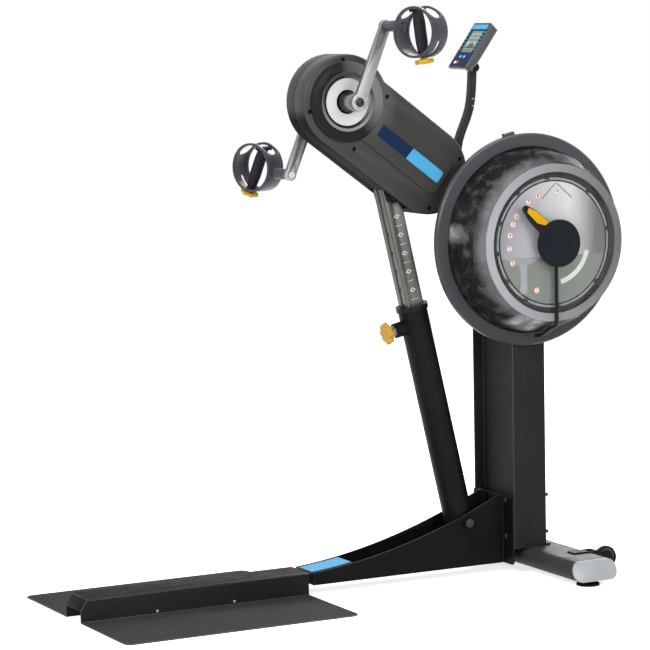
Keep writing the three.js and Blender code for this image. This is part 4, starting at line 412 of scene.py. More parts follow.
def along_axis(vector, axis):
    split = node_beside(vector, "SeparateXYZ")
    join(vector, split.inputs[0])
    return split.outputs[axis]


def ramp(vector, axis, low, high):
    """From 0 to 1 between two places along one axis."""
    return spread(along_axis(vector, axis), 0, 1, low, high)


def distance_across(vector):
    """Distance from the machine's middle plane."""
    side = node_beside(vector, "Math", "ABSOLUTE")
    join(along_axis(vector, "Y"), side.inputs[0])
    return side.outputs[0]


def from_axis(vector, centre):
    """The way to a place from an axis along Y through the centre."""
    from_centre = vector_step("SUBTRACT", vector, centre)[0]
    return vector_step("MULTIPLY", from_centre, (1, 0, 1))[0]


def radius_about(vector, centre):
    """Distance from an axis along Y through the centre."""
    return vector_step("LENGTH", from_axis(vector, centre))["Value"]


def sector(vector, centre, degrees, half_width):
    """A soft mask round one direction about an axis along Y through the centre."""
    unit = vector_step("NORMALIZE", from_axis(vector, centre))[0]
    turn = math.radians(degrees)
    along = vector_step("DOT_PRODUCT", unit, (math.cos(turn), 0, math.sin(turn)))["Value"]
    outer = math.cos(math.radians(half_width))
    inner = math.cos(math.radians(half_width * SECTOR_CORE))
    return spread(along, 0, 1, outer, inner)


def facing_along(vector, direction, low, high):
    """A soft mask where the surface looks along a direction of the part."""
    normal = node_beside(vector, "TexCoord").outputs["Normal"]
    return spread(vector_step("DOT_PRODUCT", normal, direction)["Value"], 0, 1, low, high)


def seen_directly(tree):
    """1 for what the camera sees, also in metal and through clear plastic, otherwise 0."""
    path = tree.nodes.new("ShaderNodeLightPath").outputs
    seen = combine("MAXIMUM", path["Is Camera Ray"], path["Is Glossy Ray"])
    return combine("MAXIMUM", seen, path["Is Transmission Ray"])


# Materials
def surface(name, colour, roughness, grain, mottle, shine=0.4, metallic=0.0):
    """Painted, moulded or bare material with grain, cloudiness and rubbed patches.

    Grain and mottle are pairs of scale and strength.
    """
    shader, vector = new_material(name)
    scale, contrast = mottle
    light, dark = shade(colour, 1 + contrast), shade(colour, 1 - contrast)
    paint(shader, clouds(vector, scale), dark, light)
    patch = noise(vector, scale * 5, 5)
    dull(shader, spread(patch, roughness - RUBBED, roughness + RUBBED))
    shader.inputs["Metallic"].default_value = metallic
    shader.inputs["Specular IOR Level"].default_value = shine
    roughen(shader, noise(vector, grain[0], 2), grain[1], 0.0004)


def brushed(name, colour, roughness, stretch, grain=0.12, contrast=1.0):
    """Bright metal with fine lines along one direction."""
    shader, vector = new_material(name)
    lines = noise(vector, 800, 3, stretch)
    dark, light = shade(colour, 1 - 0.15 * contrast), shade(colour, 1 + 0.12 * contrast)
    paint(shader, spread(lines, 0, 1), dark, light)
    dull(shader, spread(lines, roughness - 0.06, roughness + 0.1))
    shader.inputs["Metallic"].default_value = 1.0
    roughen(shader, lines, grain, 0.0003)


def clear_plastic(name, tint, roughness, smoke=0.0, index=1.45):
    """Clear moulding with faint flow marks; smoke is the share of it that is hazy."""
    shader, vector = new_material(name)
    dull(shader, spread(noise(vector, 9, 5), roughness, roughness + 0.06))
    shader.inputs["Base Color"].default_value = (*tint, 1)
    shader.inputs["IOR"].default_value = index
    shader.inputs["Transmission Weight"].default_value = 1.0 - smoke
    roughen(shader, noise(vector, 22, 3), 0.08, 0.002)


def tread_coating():
    """Black anti-slip coating with pale worn tips. The walls below the treads are plain."""
    shader, vector = new_material("tread_coating")
    grit = node_beside(vector, "TexVoronoi")
    grit.inputs["Scale"].default_value = 420
    join(vector, grit.inputs["Vector"])
    tips = spread(noise(vector, 700, 3), 0, 1, 0.45, 0.7)
    base = blend_colours(tips, (0.012, 0.0116, 0.0109), (0.044, 0.0427, 0.0405))
    worn = spread(noise(vector, 5, 4), 0, 0.4)
    coated = blend_colours(worn, base, (0.041, 0.0393, 0.0367))
    wall = ramp(vector, "Z", TREAD_TOP, TREAD_TOP + 0.001)
    plain = clouds(vector, 6)
    wall_paint = blend_colours(plain, (0.0042, 0.004, 0.0038), (0.0065, 0.0062, 0.0058))
    paint(shader, wall, coated, wall_paint)
    dull(shader, spread(wall, 0.8, 0.5, 0, 1))
    shader.inputs["Specular IOR Level"].default_value = 0.1
    bumps = combine("MULTIPLY", grit.outputs["Distance"], spread(wall, 1, 0.08, 0, 1))
    roughen(shader, bumps, 0.55, 0.0012)


def bowl_plastic():
    """Clear bowl with a thin smoky film of wet streaks inside it.

    The film carries a painted highlight round the bowl's shoulder, strongest to the left, and
    painted reflections of lamps in a few places.
    """
    shader, vector = new_material("clear_bowl")
    streaks = spread(noise(vector, 34, 8), 0, 1, 0.5, 0.72)
    film_colour = blend_colours(streaks, (0.018, 0.018, 0.02), (0.16, 0.16, 0.168))
    depth = distance_across(vector)
    # painted highlight round the shoulder, strongest to the left
    shoulder = spread(depth, 0, 1, SHOULDER_START, SHOULDER_END)
    side = ramp(vector, "X", brake.x + 0.02, brake.x - 0.17)
    shoulder = combine("MULTIPLY", shoulder, spread(side, 0.22, 1, 0, 1))
    uneven = spread(noise(vector, 7, 3), 0.35, 1)
    shoulder = combine("MULTIPLY", shoulder, uneven)
    film_colour = blend_colours(shoulder, film_colour, (0.3, 0.305, 0.315))
    haze = spread(shoulder, BOWL_FILM, 0.62, 0, 1)
    # painted reflections of lamps: pale patches in a few directions round the bowl
    for degrees, half_width, start, end in PAINTED_BOWL_REFLECTIONS:
        patch = sector(vector, brake, degrees, half_width)
        patch = combine("MULTIPLY", patch, spread(depth, 0, 1, start, end))
        uneven = spread(noise(vector, 19, 4), 0.4, 1)
        patch = combine("MULTIPLY", patch, uneven)
        film_colour = blend_colours(patch, film_colour, (0.5, 0.52, 0.53))
        haze = combine("MAXIMUM", haze, spread(patch, 0, 0.72, 0, 1))
    join(film_colour, shader.inputs["Base Color"])
    join(haze, shader.inputs["Alpha"])
    dull(shader, spread(streaks, 0.06, 0.18, 0, 1))
    shader.inputs["Specular IOR Level"].default_value = 0.005
    roughen(shader, noise(vector, 22, 3), 0.05, 0.002)


def dial_print():
    """Dial plate: lilac to white from left to right, with painted shade darkening its right side,
    grey-green water below.
    """
    shader, vector = new_material("dial_print")
    water_top = brake.z + WATER_LEVEL
    above = ramp(vector, "Z", water_top, water_top + 0.002)
    side = ramp(vector, "X", brake.x - 0.15, brake.x + 0.06)
    cloud = spread(noise(vector, 11, 4), 0, 0.5)
    dry = blend_colours(side, (0.155, 0.15, 0.176), (0.57, 0.565, 0.555))
    dry = blend_colours(cloud, dry, (0.38, 0.38, 0.4))
    # painted shade over the plate's right side
    shadow = ramp(vector, "X", brake.x + 0.045, brake.x + 0.13)
    dry = blend_colours(shadow, dry, (0.085, 0.087, 0.091))
    water = blend_colours(cloud, (0.125, 0.138, 0.118), (0.175, 0.188, 0.162))
    paint(shader, above, water, dry)
    shader.inputs["Roughness"].default_value = 0.4
    roughen(shader, noise(vector, 300, 2), 0.1, 0.0003)


def ring_moulding():
    """Grey moulding of the clamp ring, lighter towards its top as painted light from above."""
    shader, vector = new_material("clamp_ring_moulding")
    # painted light: the ring is darker towards its bottom and lighter towards its top
    painted_top_light = ramp(vector, "Z", brake.z - 0.27, brake.z + 0.2)
    paint(shader, painted_top_light, (0.024, 0.024, 0.027), (0.05, 0.05, 0.056))
    dull(shader, spread(noise(vector, 25, 5), 0.3, 0.42))
    shader.inputs["Specular IOR Level"].default_value = 0.25
    roughen(shader, noise(vector, 1500, 2), 0.12, 0.0004)


def wet_back():
    """Tank's back: dark, wet and finely beaded with droplets inside, plain black outside."""
    shader, vector = new_material("wet_back")
    drops = spread(noise(vector, 130, 6), 0, 1, 0.55, 0.75)
    patches = spread(noise(vector, 7, 2), 0, 1, 0.42, 0.62)
    wet = combine("MULTIPLY", drops, patches)
    haze = blend_colours(patches, (0.016, 0.016, 0.018), (0.05, 0.05, 0.054))
    inside = blend_colours(wet, haze, (0.24, 0.24, 0.25))
    front = spread(distance_across(vector), 0, 1, BACK_FRONT, BACK_FRONT + 0.0005)
    paint(shader, front, (0.008, 0.008, 0.008), inside)
    shader.inputs["Roughness"].default_value = 0.3
    shader.inputs["Specular IOR Level"].default_value = 0.12
    roughen(shader, noise(vector, 110, 4), 0.25, 0.001)


def seal_plastic():
    """Frosted seal round the face, with painted light that makes it brighter to the left."""
    clear_plastic("frosted_seal", (0.3, 0.305, 0.32), 0.35, 0.55)
    shader, vector = parts_of("frosted_seal")
    # painted light from the left: pale on the left side, dark on the right
    side = ramp(vector, "X", brake.x - 0.2, brake.x + 0.2)
    paint(shader, side, (0.5, 0.505, 0.52), (0.15, 0.152, 0.16))


def bevel_rim():
    """Chamfered rim round a hub trim, with a painted highlight on its lower side and painted shade
    above.
    """
    shader, vector = new_material("bevel_moulding")
    # painted highlight on the lower side, painted shade on the upper side
    painted_light_by_height = ramp(vector, "Z", crank.z - 0.055, crank.z + 0.02)
    paint(shader, painted_light_by_height, (0.19, 0.19, 0.195), (0.03, 0.0295, 0.0285))
    dull(shader, spread(noise(vector, 30), 0.36, 0.46))
    shader.inputs["Specular IOR Level"].default_value = 0.3
    roughen(shader, noise(vector, 900, 2), 0.1, 0.0003)


def shell_moulding():
    """Charcoal moulding of the housing, with painted shade below, on its underside and at its lower
    end.

    The flat rings round the cranks go from nearly black to a painted pale sheen on one side, and a
    painted sheen lies on the housing beside them.
    """
    shader, vector = new_material("shell_moulding")
    radius = radius_about(vector, crank)
    body = blend_colours(clouds(vector, 4), (0.038, 0.0372, 0.0356), (0.046, 0.045, 0.0432))
    # painted shade: the housing is darker towards the bottom and its lower end
    painted_light_by_height = ramp(vector, "Z", brake.z - 0.1, brake.z + 0.15)
    body = blend_colours(painted_light_by_height, (0.0085, 0.0082, 0.0078), body)
    # painted sheen on the housing beside the disc, towards one side
    near_disc = spread(radius, 1, 0, DISC_RADIUS, DISC_RADIUS + 0.045)
    sheen = combine("MULTIPLY", near_disc, sector(vector, crank, 2, 62))
    body = blend_colours(sheen, body, (0.1, 0.099, 0.102))
    # painted shade on the faces that look down
    painted_underside_shade = facing_along(vector, -arm_up, 0.6, 0.85)
    body = blend_colours(painted_underside_shade, body, (0.005, 0.0049, 0.0047))
    # painted sheen: the disc ring goes from nearly black to pale towards one side
    painted_disc_sheen = sector(vector, crank, 22, 80)
    disc = blend_colours(painted_disc_sheen, (0.006, 0.0058, 0.0055), (0.17, 0.17, 0.18))
    ring = spread(radius, 1, 0, DISC_RADIUS, DISC_RADIUS + 0.0008)
    proud = spread(distance_across(vector), 0, 1, DISC_START, DISC_START + 0.001)
    paint(shader, combine("MULTIPLY", ring, proud), body, disc)
    patch = spread(noise(vector, 20, 5), 0.32, 0.42)
    dull(shader, combine("MAXIMUM", patch, spread(painted_underside_shade, 0, 0.9, 0, 1)))
    shader.inputs["Specular IOR Level"].default_value = 0.11
    roughen(shader, noise(vector, 1700, 2), 0.14, 0.0004)


def hub_metal():
    """The crank axle's bright metal, with the black bush where it leaves the housing."""
    brushed("hub_metal", (0.38, 0.38, 0.37), 0.3, (1, 0.1, 1))
    shader, vector = parts_of("hub_metal")
    bare = spread(distance_across(vector), 0, 1, BUSH_END, BUSH_END + 0.0005)
    bright = shader.inputs["Base Color"].links[0].from_socket
    paint(shader, bare, (0.006, 0.006, 0.006), bright)
    join(bare, shader.inputs["Metallic"])


def screen_glass():
    """Dull green display behind a clear coat."""
    shader, vector = new_material("screen_glass")
    cells = clouds(vector, 1500, 1)
    paint(shader, cells, (0.045, 0.075, 0.06), (0.065, 0.1, 0.08))
    shader.inputs["Roughness"].default_value = 0.2
    shader.inputs["Coat Weight"].default_value = 0.6


# Name, colour, roughness, grain and mottle, then shine and share of metal where they differ
# from what surface() takes
SURFACES = (
    ("black_powder_coat", (0.0052, 0.005, 0.0047), 0.44, (1400, 0.22), (5, 0.2), 0.07),
    ("tube_paint", (0.027, 0.026, 0.0245), 0.5, (1400, 0.15), (5, 0.2), 0.14),
    ("column_paint", (0.0145, 0.0141, 0.0134), 0.46, (1400, 0.2), (5, 0.2), 0.08),
    ("channel_paint", (0.0032, 0.0031, 0.0029), 0.46, (1400, 0.2), (5, 0.2), 0.06),
    ("beam_paint", (0.0072, 0.007, 0.0067), 0.6, (1000, 0.25), (6, 0.2), 0.05),
    # Edge looks for eased edges: lighter edges of the powder coat, partly wear and partly painted
    # highlight, and a painted highlight along the housing's edges
    ("rubbed_edge_highlight", (0.035, 0.034, 0.032), 0.34, (900, 0.1), (30, 0.25), 0.5),
    ("shell_edge_highlight", (0.07, 0.069, 0.066), 0.34, (900, 0.1), (30, 0.2), 0.6),
    ("stem_paint", (0.015, 0.0147, 0.0138), 0.42, (1400, 0.15), (5, 0.2), 0.14),
    ("cage_moulding", (0.043, 0.042, 0.054), 0.4, (1500, 0.14), (20, 0.12), 0.22),
    ("console_moulding", (0.06, 0.059, 0.064), 0.36, (1500, 0.12), (9, 0.1), 0.25),
    ("black_moulding", (0.007, 0.007, 0.007), 0.36, (1500, 0.1), (12, 0.15), 0.1),
    ("soft_grip", (0.014, 0.014, 0.018), 0.62, (1100, 0.35), (18, 0.15), 0.12),
    ("tyre_rubber", (0.009, 0.009, 0.009), 0.7, (800, 0.3), (20, 0.2), 0.08),
    ("yellow_moulding", (0.47, 0.265, 0.008), 0.4, (1200, 0.1), (14, 0.1), 0.2),
    ("lever_yellow", (0.54, 0.285, 0.0015), 0.5, (1200, 0.1), (14, 0.06), 0.1),
    ("white_trim", (0.5, 0.5, 0.505), 0.38, (900, 0.08), (10, 0.05)),
    ("cap_silver", (0.31, 0.32, 0.33), 0.4, (1200, 0.12), (9, 0.08), 0.3, 0.2),
    ("dial_black", (0.008, 0.01, 0.013), 0.5, (1500, 0.15), (14, 0.15), 0.06),
    ("navy_film", (0.007, 0.019, 0.055), 0.4, (900, 0.05), (25, 0.1), 0.06),
    ("light_blue_film", (0.06, 0.31, 0.52), 0.4, (900, 0.05), (25, 0.06), 0.1),
    ("white_print", (0.7, 0.7, 0.7), 0.5, (700, 0.05), (60, 0.05)),
    ("orange_print", (0.75, 0.2, 0.07), 0.5, (700, 0.05), (60, 0.05)),
    ("dark_print", (0.02, 0.02, 0.03), 0.5, (700, 0.05), (60, 0.05)),
    ("screen_pale", (0.26, 0.37, 0.3), 0.4, (700, 0.05), (60, 0.05), 0.2),
    ("grey_print", (0.25, 0.265, 0.275), 0.5, (700, 0.05), (60, 0.05)),
    ("lilac_print", (0.235, 0.228, 0.265), 0.45, (700, 0.05), (30, 0.08)),
    ("pale_print", (0.55, 0.57, 0.52), 0.45, (700, 0.05), (30, 0.08)),
    ("smoke_print", (0.09, 0.09, 0.095), 0.5, (700, 0.05), (60, 0.05)),
    ("key_blue", (0.1, 0.46, 0.78), 0.5, (900, 0.1), (60, 0.05)),
    ("key_white", (0.78, 0.78, 0.78), 0.5, (900, 0.1), (60, 0.05)),
    ("key_red", (0.6, 0.03, 0.025), 0.5, (900, 0.1), (60, 0.05)),
    ("dark_bolt_steel", (0.022, 0.022, 0.023), 0.25, (900, 0.15), (40, 0.2), 0.5, 0.5),
    ("wheel_rim", (0.06, 0.06, 0.061), 0.35, (900, 0.15), (40, 0.2), 0.3, 0.3),
    ("reservoir_flange", (0.22, 0.22, 0.235), 0.4, (900, 0.05), (30, 0.2), 0.3),
)

for row in SURFACES:
    surface(*row)
brushed("bright_steel", (0.5, 0.5, 0.49), 0.26, (1, 1, 1))
brushed("coil_steel", (0.16, 0.16, 0.158), 0.34, (1, 1, 1))
brushed("crank_metal", (0.27, 0.27, 0.26), 0.42, (1, 1, 0.6), 0.05, 0.5)
brushed("post_metal", (0.112, 0.11, 0.101), 0.4, (1, 1, 0.06))
clear_plastic("clear_blades", (0.35, 0.36, 0.38), 0.1, 0.1)
clear_plastic("clear_face", (0.95, 0.955, 0.96), 0.0, 0.012, index=1.15)
clear_plastic("clear_inner", (0.7, 0.72, 0.74), 0.05, index=1.15)
for make in (
    tread_coating, bowl_plastic, dial_print, ring_moulding, wet_back, seal_plastic, bevel_rim,
    shell_moulding, hub_metal, screen_glass,
):
    make()

NODES_BY_LOOK = {
    "tread_coating": ("platform_near", "platform_far"),
    "beam_paint": ("platform_cover",),
    "channel_paint": ("base_channel",),
    "column_paint": ("column",),
    "tube_paint": ("stabilizer",),
    "cap_silver": ("stabilizer_cap_near", "stabilizer_cap_far", "dial_boss"),
    "tyre_rubber": (
        "foot_near", "foot_far", "transport_wheel_near", "transport_wheel_far", "drive_belt",
    ),
    "black_powder_coat": ("wheel_bracket_near", "wheel_bracket_far", "arm_frame", "mast_tube"),
    "wet_back": ("tank_back",),
    "clamp_ring_moulding": ("tank_clamp_ring",),
    "clear_bowl": ("tank_bowl",),
    "clear_face": ("tank_face",),
    "frosted_seal": ("tank_seal",),
    "clear_inner": ("tank_reservoir",),
    "dial_print": ("dial_plate",),
    "black_moulding": ("drain_pipe", "drive_pulley", "mast_collar", "post_cap"),
    "dial_black": ("level_lever",),
    "bright_steel": ("rotor_shaft", "spindle_near", "spindle_far"),
    "clear_blades": ("impeller",),
    "shell_moulding": ("housing_near", "housing_far"),
    "white_trim": ("hub_trim_near", "hub_trim_far"),
    "dark_bolt_steel": ("mast_head_bolt", "mast_foot_bolt"),
    "stem_paint": ("console_stem",),
    "console_moulding": ("console_body",),
    "navy_film": ("console_face",),
    "screen_glass": ("console_screen",),
    "key_blue": ("button_up", "button_down"),
    "key_white": ("button_start",),
    "key_red": ("button_reset",),
    "hub_metal": ("crank_axle",),
    "crank_metal": ("crank_near", "crank_far"),
    "cage_moulding": ("cage_near", "cage_far"),
    "soft_grip": ("grip_near", "grip_far"),
    "yellow_moulding": ("clamp_knob_near", "clamp_knob_far", "pull_pin"),
    "post_metal": ("mast_post",),
    "coil_steel": ("pin_nose",),
}
NODE_LOOKS = {node: look for look, group in NODES_BY_LOOK.items() for node in group}

# Looks whose eased edges take the lighter edge look, which is partly wear and partly painted
# highlight
EDGE_WEAR_AND_HIGHLIGHT_LOOKS = (
    "black_powder_coat", "beam_paint", "tread_coating", "column_paint", "channel_paint",
    "tube_paint",
)
EDGE_LOOKS = {"shell_moulding": "shell_edge_highlight", **dict.fromkeys(EDGE_WEAR_AND_HIGHLIGHT_LOOKS, "rubbed_edge_highlight")}


# Stage
def make_camera():
    forward = Vector((
        math.sin(CAMERA_YAW) * math.cos(CAMERA_PITCH),
        math.cos(CAMERA_YAW) * math.cos(CAMERA_PITCH),
        -math.sin(CAMERA_PITCH),
    ))
    right = Vector((math.cos(CAMERA_YAW), -math.sin(CAMERA_YAW), 0))
    down = forward.cross(right)
    rolled_right = math.cos(CAMERA_ROLL) * right + math.sin(CAMERA_ROLL) * down
    rolled_down = math.cos(CAMERA_ROLL) * down - math.sin(CAMERA_ROLL) * right
    matrix = Matrix((rolled_right, -rolled_down, -forward)).transposed().to_4x4()
    matrix.translation = Vector(CAMERA_PLACE)
    data = bpy.data.cameras.new("camera")
    data.sensor_width = SENSOR
    data.lens = FOCAL_PIXELS / IMAGE_SIDE * SENSOR
    data.clip_end = VIEW_END
    camera = bpy.data.objects.new("camera", data)
    camera.matrix_world = matrix
    bpy.context.scene.collection.objects.link(camera)
    bpy.context.scene.camera = camera


def make_lamp(name, place, target, size, power):
    data = bpy.data.lights.new(name, "AREA")
    data.shape = "RECTANGLE"
    data.size, data.size_y = size
    data.energy = power
    lamp = bpy.data.objects.new(name, data)
    lamp.location = place
    aim = Vector(target) - Vector(place)
    lamp.rotation_euler = aim.to_track_quat("-Z", "Y").to_euler()
    bpy.context.scene.collection.objects.link(lamp)


def background(tree, colour, strength):
    node = tree.nodes.new("ShaderNodeBackground")
    node.inputs["Color"].default_value = (*colour, 1)
    node.inputs["Strength"].default_value = strength
    return node.outputs[0]


def make_world():
    """Soft pale light, with pure white wherever the world is seen."""
    world = bpy.data.worlds.new("studio")
    bpy.context.scene.world = world
    world.use_nodes = True
    tree = world.node_tree
    tree.nodes.clear()
    output = tree.nodes.new("ShaderNodeOutputWorld")
    mix = tree.nodes.new("ShaderNodeMixShader")
    join(seen_directly(tree), mix.inputs[0])
    join(background(tree, WORLD_TINT, WORLD_STRENGTH), mix.inputs[1])
    join(background(tree, (1, 1, 1), 1), mix.inputs[2])
    join(mix.outputs[0], output.inputs[0])


def make_floor():
    """Pale floor that shows white round the object and keeps its shadow."""
    bm = bmesh.new()
    bm.faces.new([
        bm.verts.new((FLOOR_RADIUS * math.cos(turn), FLOOR_RADIUS * math.sin(turn), 0))
        for turn in (step / LATHE_STEPS * 2 * math.pi for step in range(LATHE_STEPS))
    ])
    mesh = bpy.data.meshes.new("floor")
    bm.to_mesh(mesh)
    bm.free()
    shader, vector = new_material("floor")
    paint(shader, clouds(vector, 2), (0.88, 0.88, 0.88), (0.9, 0.9, 0.9))
    shader.inputs["Roughness"].default_value = 0.9
    shader.inputs["Emission Color"].default_value = (1, 1, 1, 1)
    glow = spread(seen_directly(shader.id_data), 0, FLOOR_GLOW, 0, 1)
    join(glow, shader.inputs["Emission Strength"])
    mesh.materials.append(LOOKS["floor"])
    floor = bpy.data.objects.new("floor", mesh)
    bpy.context.scene.collection.objects.link(floor)


# Meshes. A piece's look is the name of its material
def new_piece(name, bm, look, body, matrix=None):
    bmesh.ops.recalc_face_normals(bm, faces=bm.faces)
    mesh = bpy.data.meshes.new(name)
    bm.to_mesh(mesh)
    bm.free()
    if matrix is not None:
        mesh.transform(matrix)
    mesh.materials.append(LOOKS[look])
    piece = bpy.data.objects.new(name, mesh)
    bpy.context.scene.collection.objects.link(piece)
    smooth_by_angle(mesh)
    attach(piece, body)
    return piece


def smooth_by_angle(mesh, limit=math.radians(35)):
    for polygon in mesh.polygons:
        polygon.use_smooth = True
    bm = bmesh.new()
    bm.from_mesh(mesh)
    for edge in bm.edges:
        edge.smooth = edge.is_manifold and edge.calc_face_angle(0) < limit
    bm.to_mesh(mesh)
    bm.free()


def copy_of(name):
    bm = bmesh.new()
    bm.from_mesh(nodes[name].data)
    bmesh.ops.remove_doubles(bm, verts=bm.verts, dist=MATCH / 10)
    return bm


def ease_edges(bm, width, limit):
    """Merge flat faces, then round every edge that is sharper than the limit."""
    bmesh.ops.dissolve_limit(
        bm, angle_limit=math.radians(1), use_dissolve_boundaries=False, verts=bm.verts,
        edges=bm.edges,
    )
    sharp = [e for e in bm.edges if e.is_manifold and e.calc_face_angle(0) > limit]
    bmesh.ops.bevel(
        bm, geom=sharp, offset=width, segments=2, profile=0.5, affect="EDGES",
        clamp_overlap=True, material=1,
    )


def softened(name, width):
    """A copy of a CAD node with its hard edges rounded, which stands for it."""
    bm = copy_of(name)
    ease_edges(bm, width, math.radians(40))
    look = NODE_LOOKS[name]
    piece = new_piece(name + "_skin", bm, look, nodes[name]["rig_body"])
    # the second slot holds the edge look, a painted highlight along the eased edges where
    # EDGE_LOOKS gives one
    piece.data.materials.append(LOOKS[EDGE_LOOKS.get(look, look)])
    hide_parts(name)


def turned_again(name, place, sides):
    """A turned node with true circles: each side of its polygon is split and moved out.

    The place is a matrix whose Y is the node's axis.
    """
    bm = copy_of(name)
    bm.transform(place.inverted())
    step = 2 * math.pi / sides

    def turn_of(vertex):
        return math.atan2(vertex.co.z, vertex.co.x)

    turns = Counter(round(turn_of(vertex) % step, 3) for vertex in bm.verts)
    start = turns.most_common(1)[0][0]

    def wide(edge):
        first, second = edge.verts
        apart = abs(turn_of(first) - turn_of(second))
        return min(apart, 2 * math.pi - apart) > step / 2

    long_edges = [edge for edge in bm.edges if wide(edge)]
    bmesh.ops.subdivide_edges(bm, edges=long_edges, cuts=TURN_CUTS, use_grid_fill=True)
    for vertex in bm.verts:
        within = (turn_of(vertex) - start) % step - step / 2
        outward = math.cos(within) / math.cos(step / 2)
        vertex.co.x *= outward
        vertex.co.z *= outward
    piece = new_piece(name + "_round", bm, NODE_LOOKS[name], nodes[name]["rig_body"], place)
    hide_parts(name)


def seat(name, origin, direction):
    """Where a line from the origin meets a node, for a piece that sits on it."""
    tree = BVHTree.FromPolygons(
        [vertex.co for vertex in nodes[name].data.vertices],
        [polygon.vertices for polygon in nodes[name].data.polygons],
    )
    return tree.ray_cast(Vector(origin), Vector(direction))[0]


def facing(place, direction):
    """A matrix at a place whose -Y looks along the direction, with Z as near to up as it can be."""
    back = -Vector(direction).normalized()
    across = back.cross(UP)
    if across.length < 0.1:
        across = Vector((1, 0, 0))
    return frame_matrix(place, across, across.cross(back))


def ring_of(bm, matrix, radius, along, steps):
    loop = []
    for step in range(steps):
        angle = step / steps * 2 * math.pi
        spot = Vector((radius * math.cos(angle), along, radius * math.sin(angle)))
        loop.append(bm.verts.new(matrix @ spot))
    return loop


def bridge(bm, first, second):
    for step, corner in enumerate(first):
        other = (step + 1) % len(first)
        bm.faces.new((corner, first[other], second[other], second[step]))


def lathe(name, profile, look, body, matrix, steps=LATHE_STEPS, closed=True):
    """A turned piece about a matrix's Y: a closed ring, or a solid with flat ends."""
    bm = bmesh.new()
    loops = [ring_of(bm, matrix, radius, along, steps) for radius, along in profile]
    for first, second in zip(loops, loops[1:]):
        bridge(bm, first, second)
    if closed:
        bridge(bm, loops[-1], loops[0])
    else:
        bm.faces.new(loops[0])
        bm.faces.new(loops[-1])
    new_piece(name, bm, look, body)


def rounded_outline(width, height, corner, steps=5):
    points = []
    for quarter, (sx, sz) in enumerate(((1, 1), (-1, 1), (-1, -1), (1, -1))):
        for step in range(steps + 1):
            angle = (quarter + step / steps) * math.pi / 2
            x = sx * (width / 2 - corner) + corner * math.cos(angle)
            z = sz * (height / 2 - corner) + corner * math.sin(angle)
            points.append((x, z))
    return points


def plate(name, outline, thickness, edge, look, body, matrix):
    """A thin plate in its own X and Z with an eased front edge; the front looks along -Y."""
    bm = bmesh.new()
    middle_x = sum(x for x, _ in outline) / len(outline)
    middle_z = sum(z for _, z in outline) / len(outline)

    def loop(inset, along):
        points = []
        for x, z in outline:
            away = Vector((x - middle_x, z - middle_z))
            shrunk = away * (1 - inset / max(away.length, inset * 2))
            points.append(bm.verts.new((middle_x + shrunk.x, along, middle_z + shrunk.y)))
        return points

    back = loop(0, 0)
    side = loop(0, -thickness + edge)
    front = loop(edge, -thickness)
    bridge(bm, back, side)
    bridge(bm, side, front)
    bm.faces.new(front)
    bm.faces.new(back)
    new_piece(name, bm, look, body, matrix)


def placed(matrix, x, y, z, turn=0.0):
    return matrix @ Matrix.Translation((x, y, z)) @ Matrix.Rotation(turn, 4, "Y")


def print_number(name, number, body, matrix):
    """A printed number on the dial, facing along the matrix's -Y."""
    curve = bpy.data.curves.new(name, "FONT")
    curve.body = str(number)
    curve.size = NUMBER_SIZE
    curve.extrude = PRINT / 5
    curve.offset = NUMBER_WEIGHT
    curve.align_x = "CENTER"
    curve.align_y = "CENTER"
    text = bpy.data.objects.new(name, curve)
    text.matrix_world = matrix @ Matrix.Rotation(math.pi / 2, 4, "X")
    curve.materials.append(LOOKS["dark_print"])
    bpy.context.scene.collection.objects.link(text)
    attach(text, body)


# Small pieces that sit on a node
def bolt_on(name, node, origin, direction, radius, look="dark_bolt_steel"):
    """Round-headed socket bolt on a washer, where a line from the origin meets a node."""
    matrix = facing(seat(node, origin, direction), -Vector(direction))
    profile = [(radius * wide, -radius * out) for wide, out in BOLT_PROFILE]
    lathe(name, profile, look, nodes[node]["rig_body"], matrix, SMALL_STEPS, closed=False)


def depth_of(node, matrix, x, z, reach=0.4):
    """How far along its own Y a matrix meets a node, coming from the front."""
    start = matrix @ Vector((x, -reach, z))
    direction = matrix.to_3x3() @ Vector((0, 1, 0))
    return (matrix.inverted() @ seat(node, start, direction)).y


def film(name, node, outline, matrix, look, spot=None, thickness=FILM):
    """A thin printed plate that lies on a node's front."""
    x, z = spot or outline[0]
    on = matrix @ Matrix.Translation((0, depth_of(node, matrix, x, z) - MATCH, 0))
    plate(name, outline, thickness, thickness / 3, look, nodes[node]["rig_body"], on)


def moved(outline, x, z):
    return [(x + u, z + v) for u, v in outline]


def mark(name, node, size, x, z, matrix, look, thickness=PRINT):
    """A printed mark with round corners, from its width, height and corner."""
    film(name, node, moved(rounded_outline(*size), x, z), matrix, look, thickness=thickness)


def bar_between(start, end, width):
    """Outline of a straight bar between two points."""
    along = Vector((end[0] - start[0], end[1] - start[1])).normalized() * width / 2
    side = Vector((-along.y, along.x))
    corners = ((start, 1), (start, -1), (end, -1), (end, 1))
    return [(point[0] + sign * side.x, point[1] + sign * side.y) for point, sign in corners]


def ring_print(name, node, matrix, radius, width, look, lift=0.0):
    """A thin printed ring about a matrix's Y, on a node's front."""
    back = depth_of(node, matrix, 0, 0) - lift - MATCH
    front = back - PRINT / 2
    inner = radius - width
    profile = [(radius, back), (radius, front), (inner, front), (inner, back)]
    lathe(name, profile, look, nodes[node]["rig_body"], matrix, SMALL_STEPS)


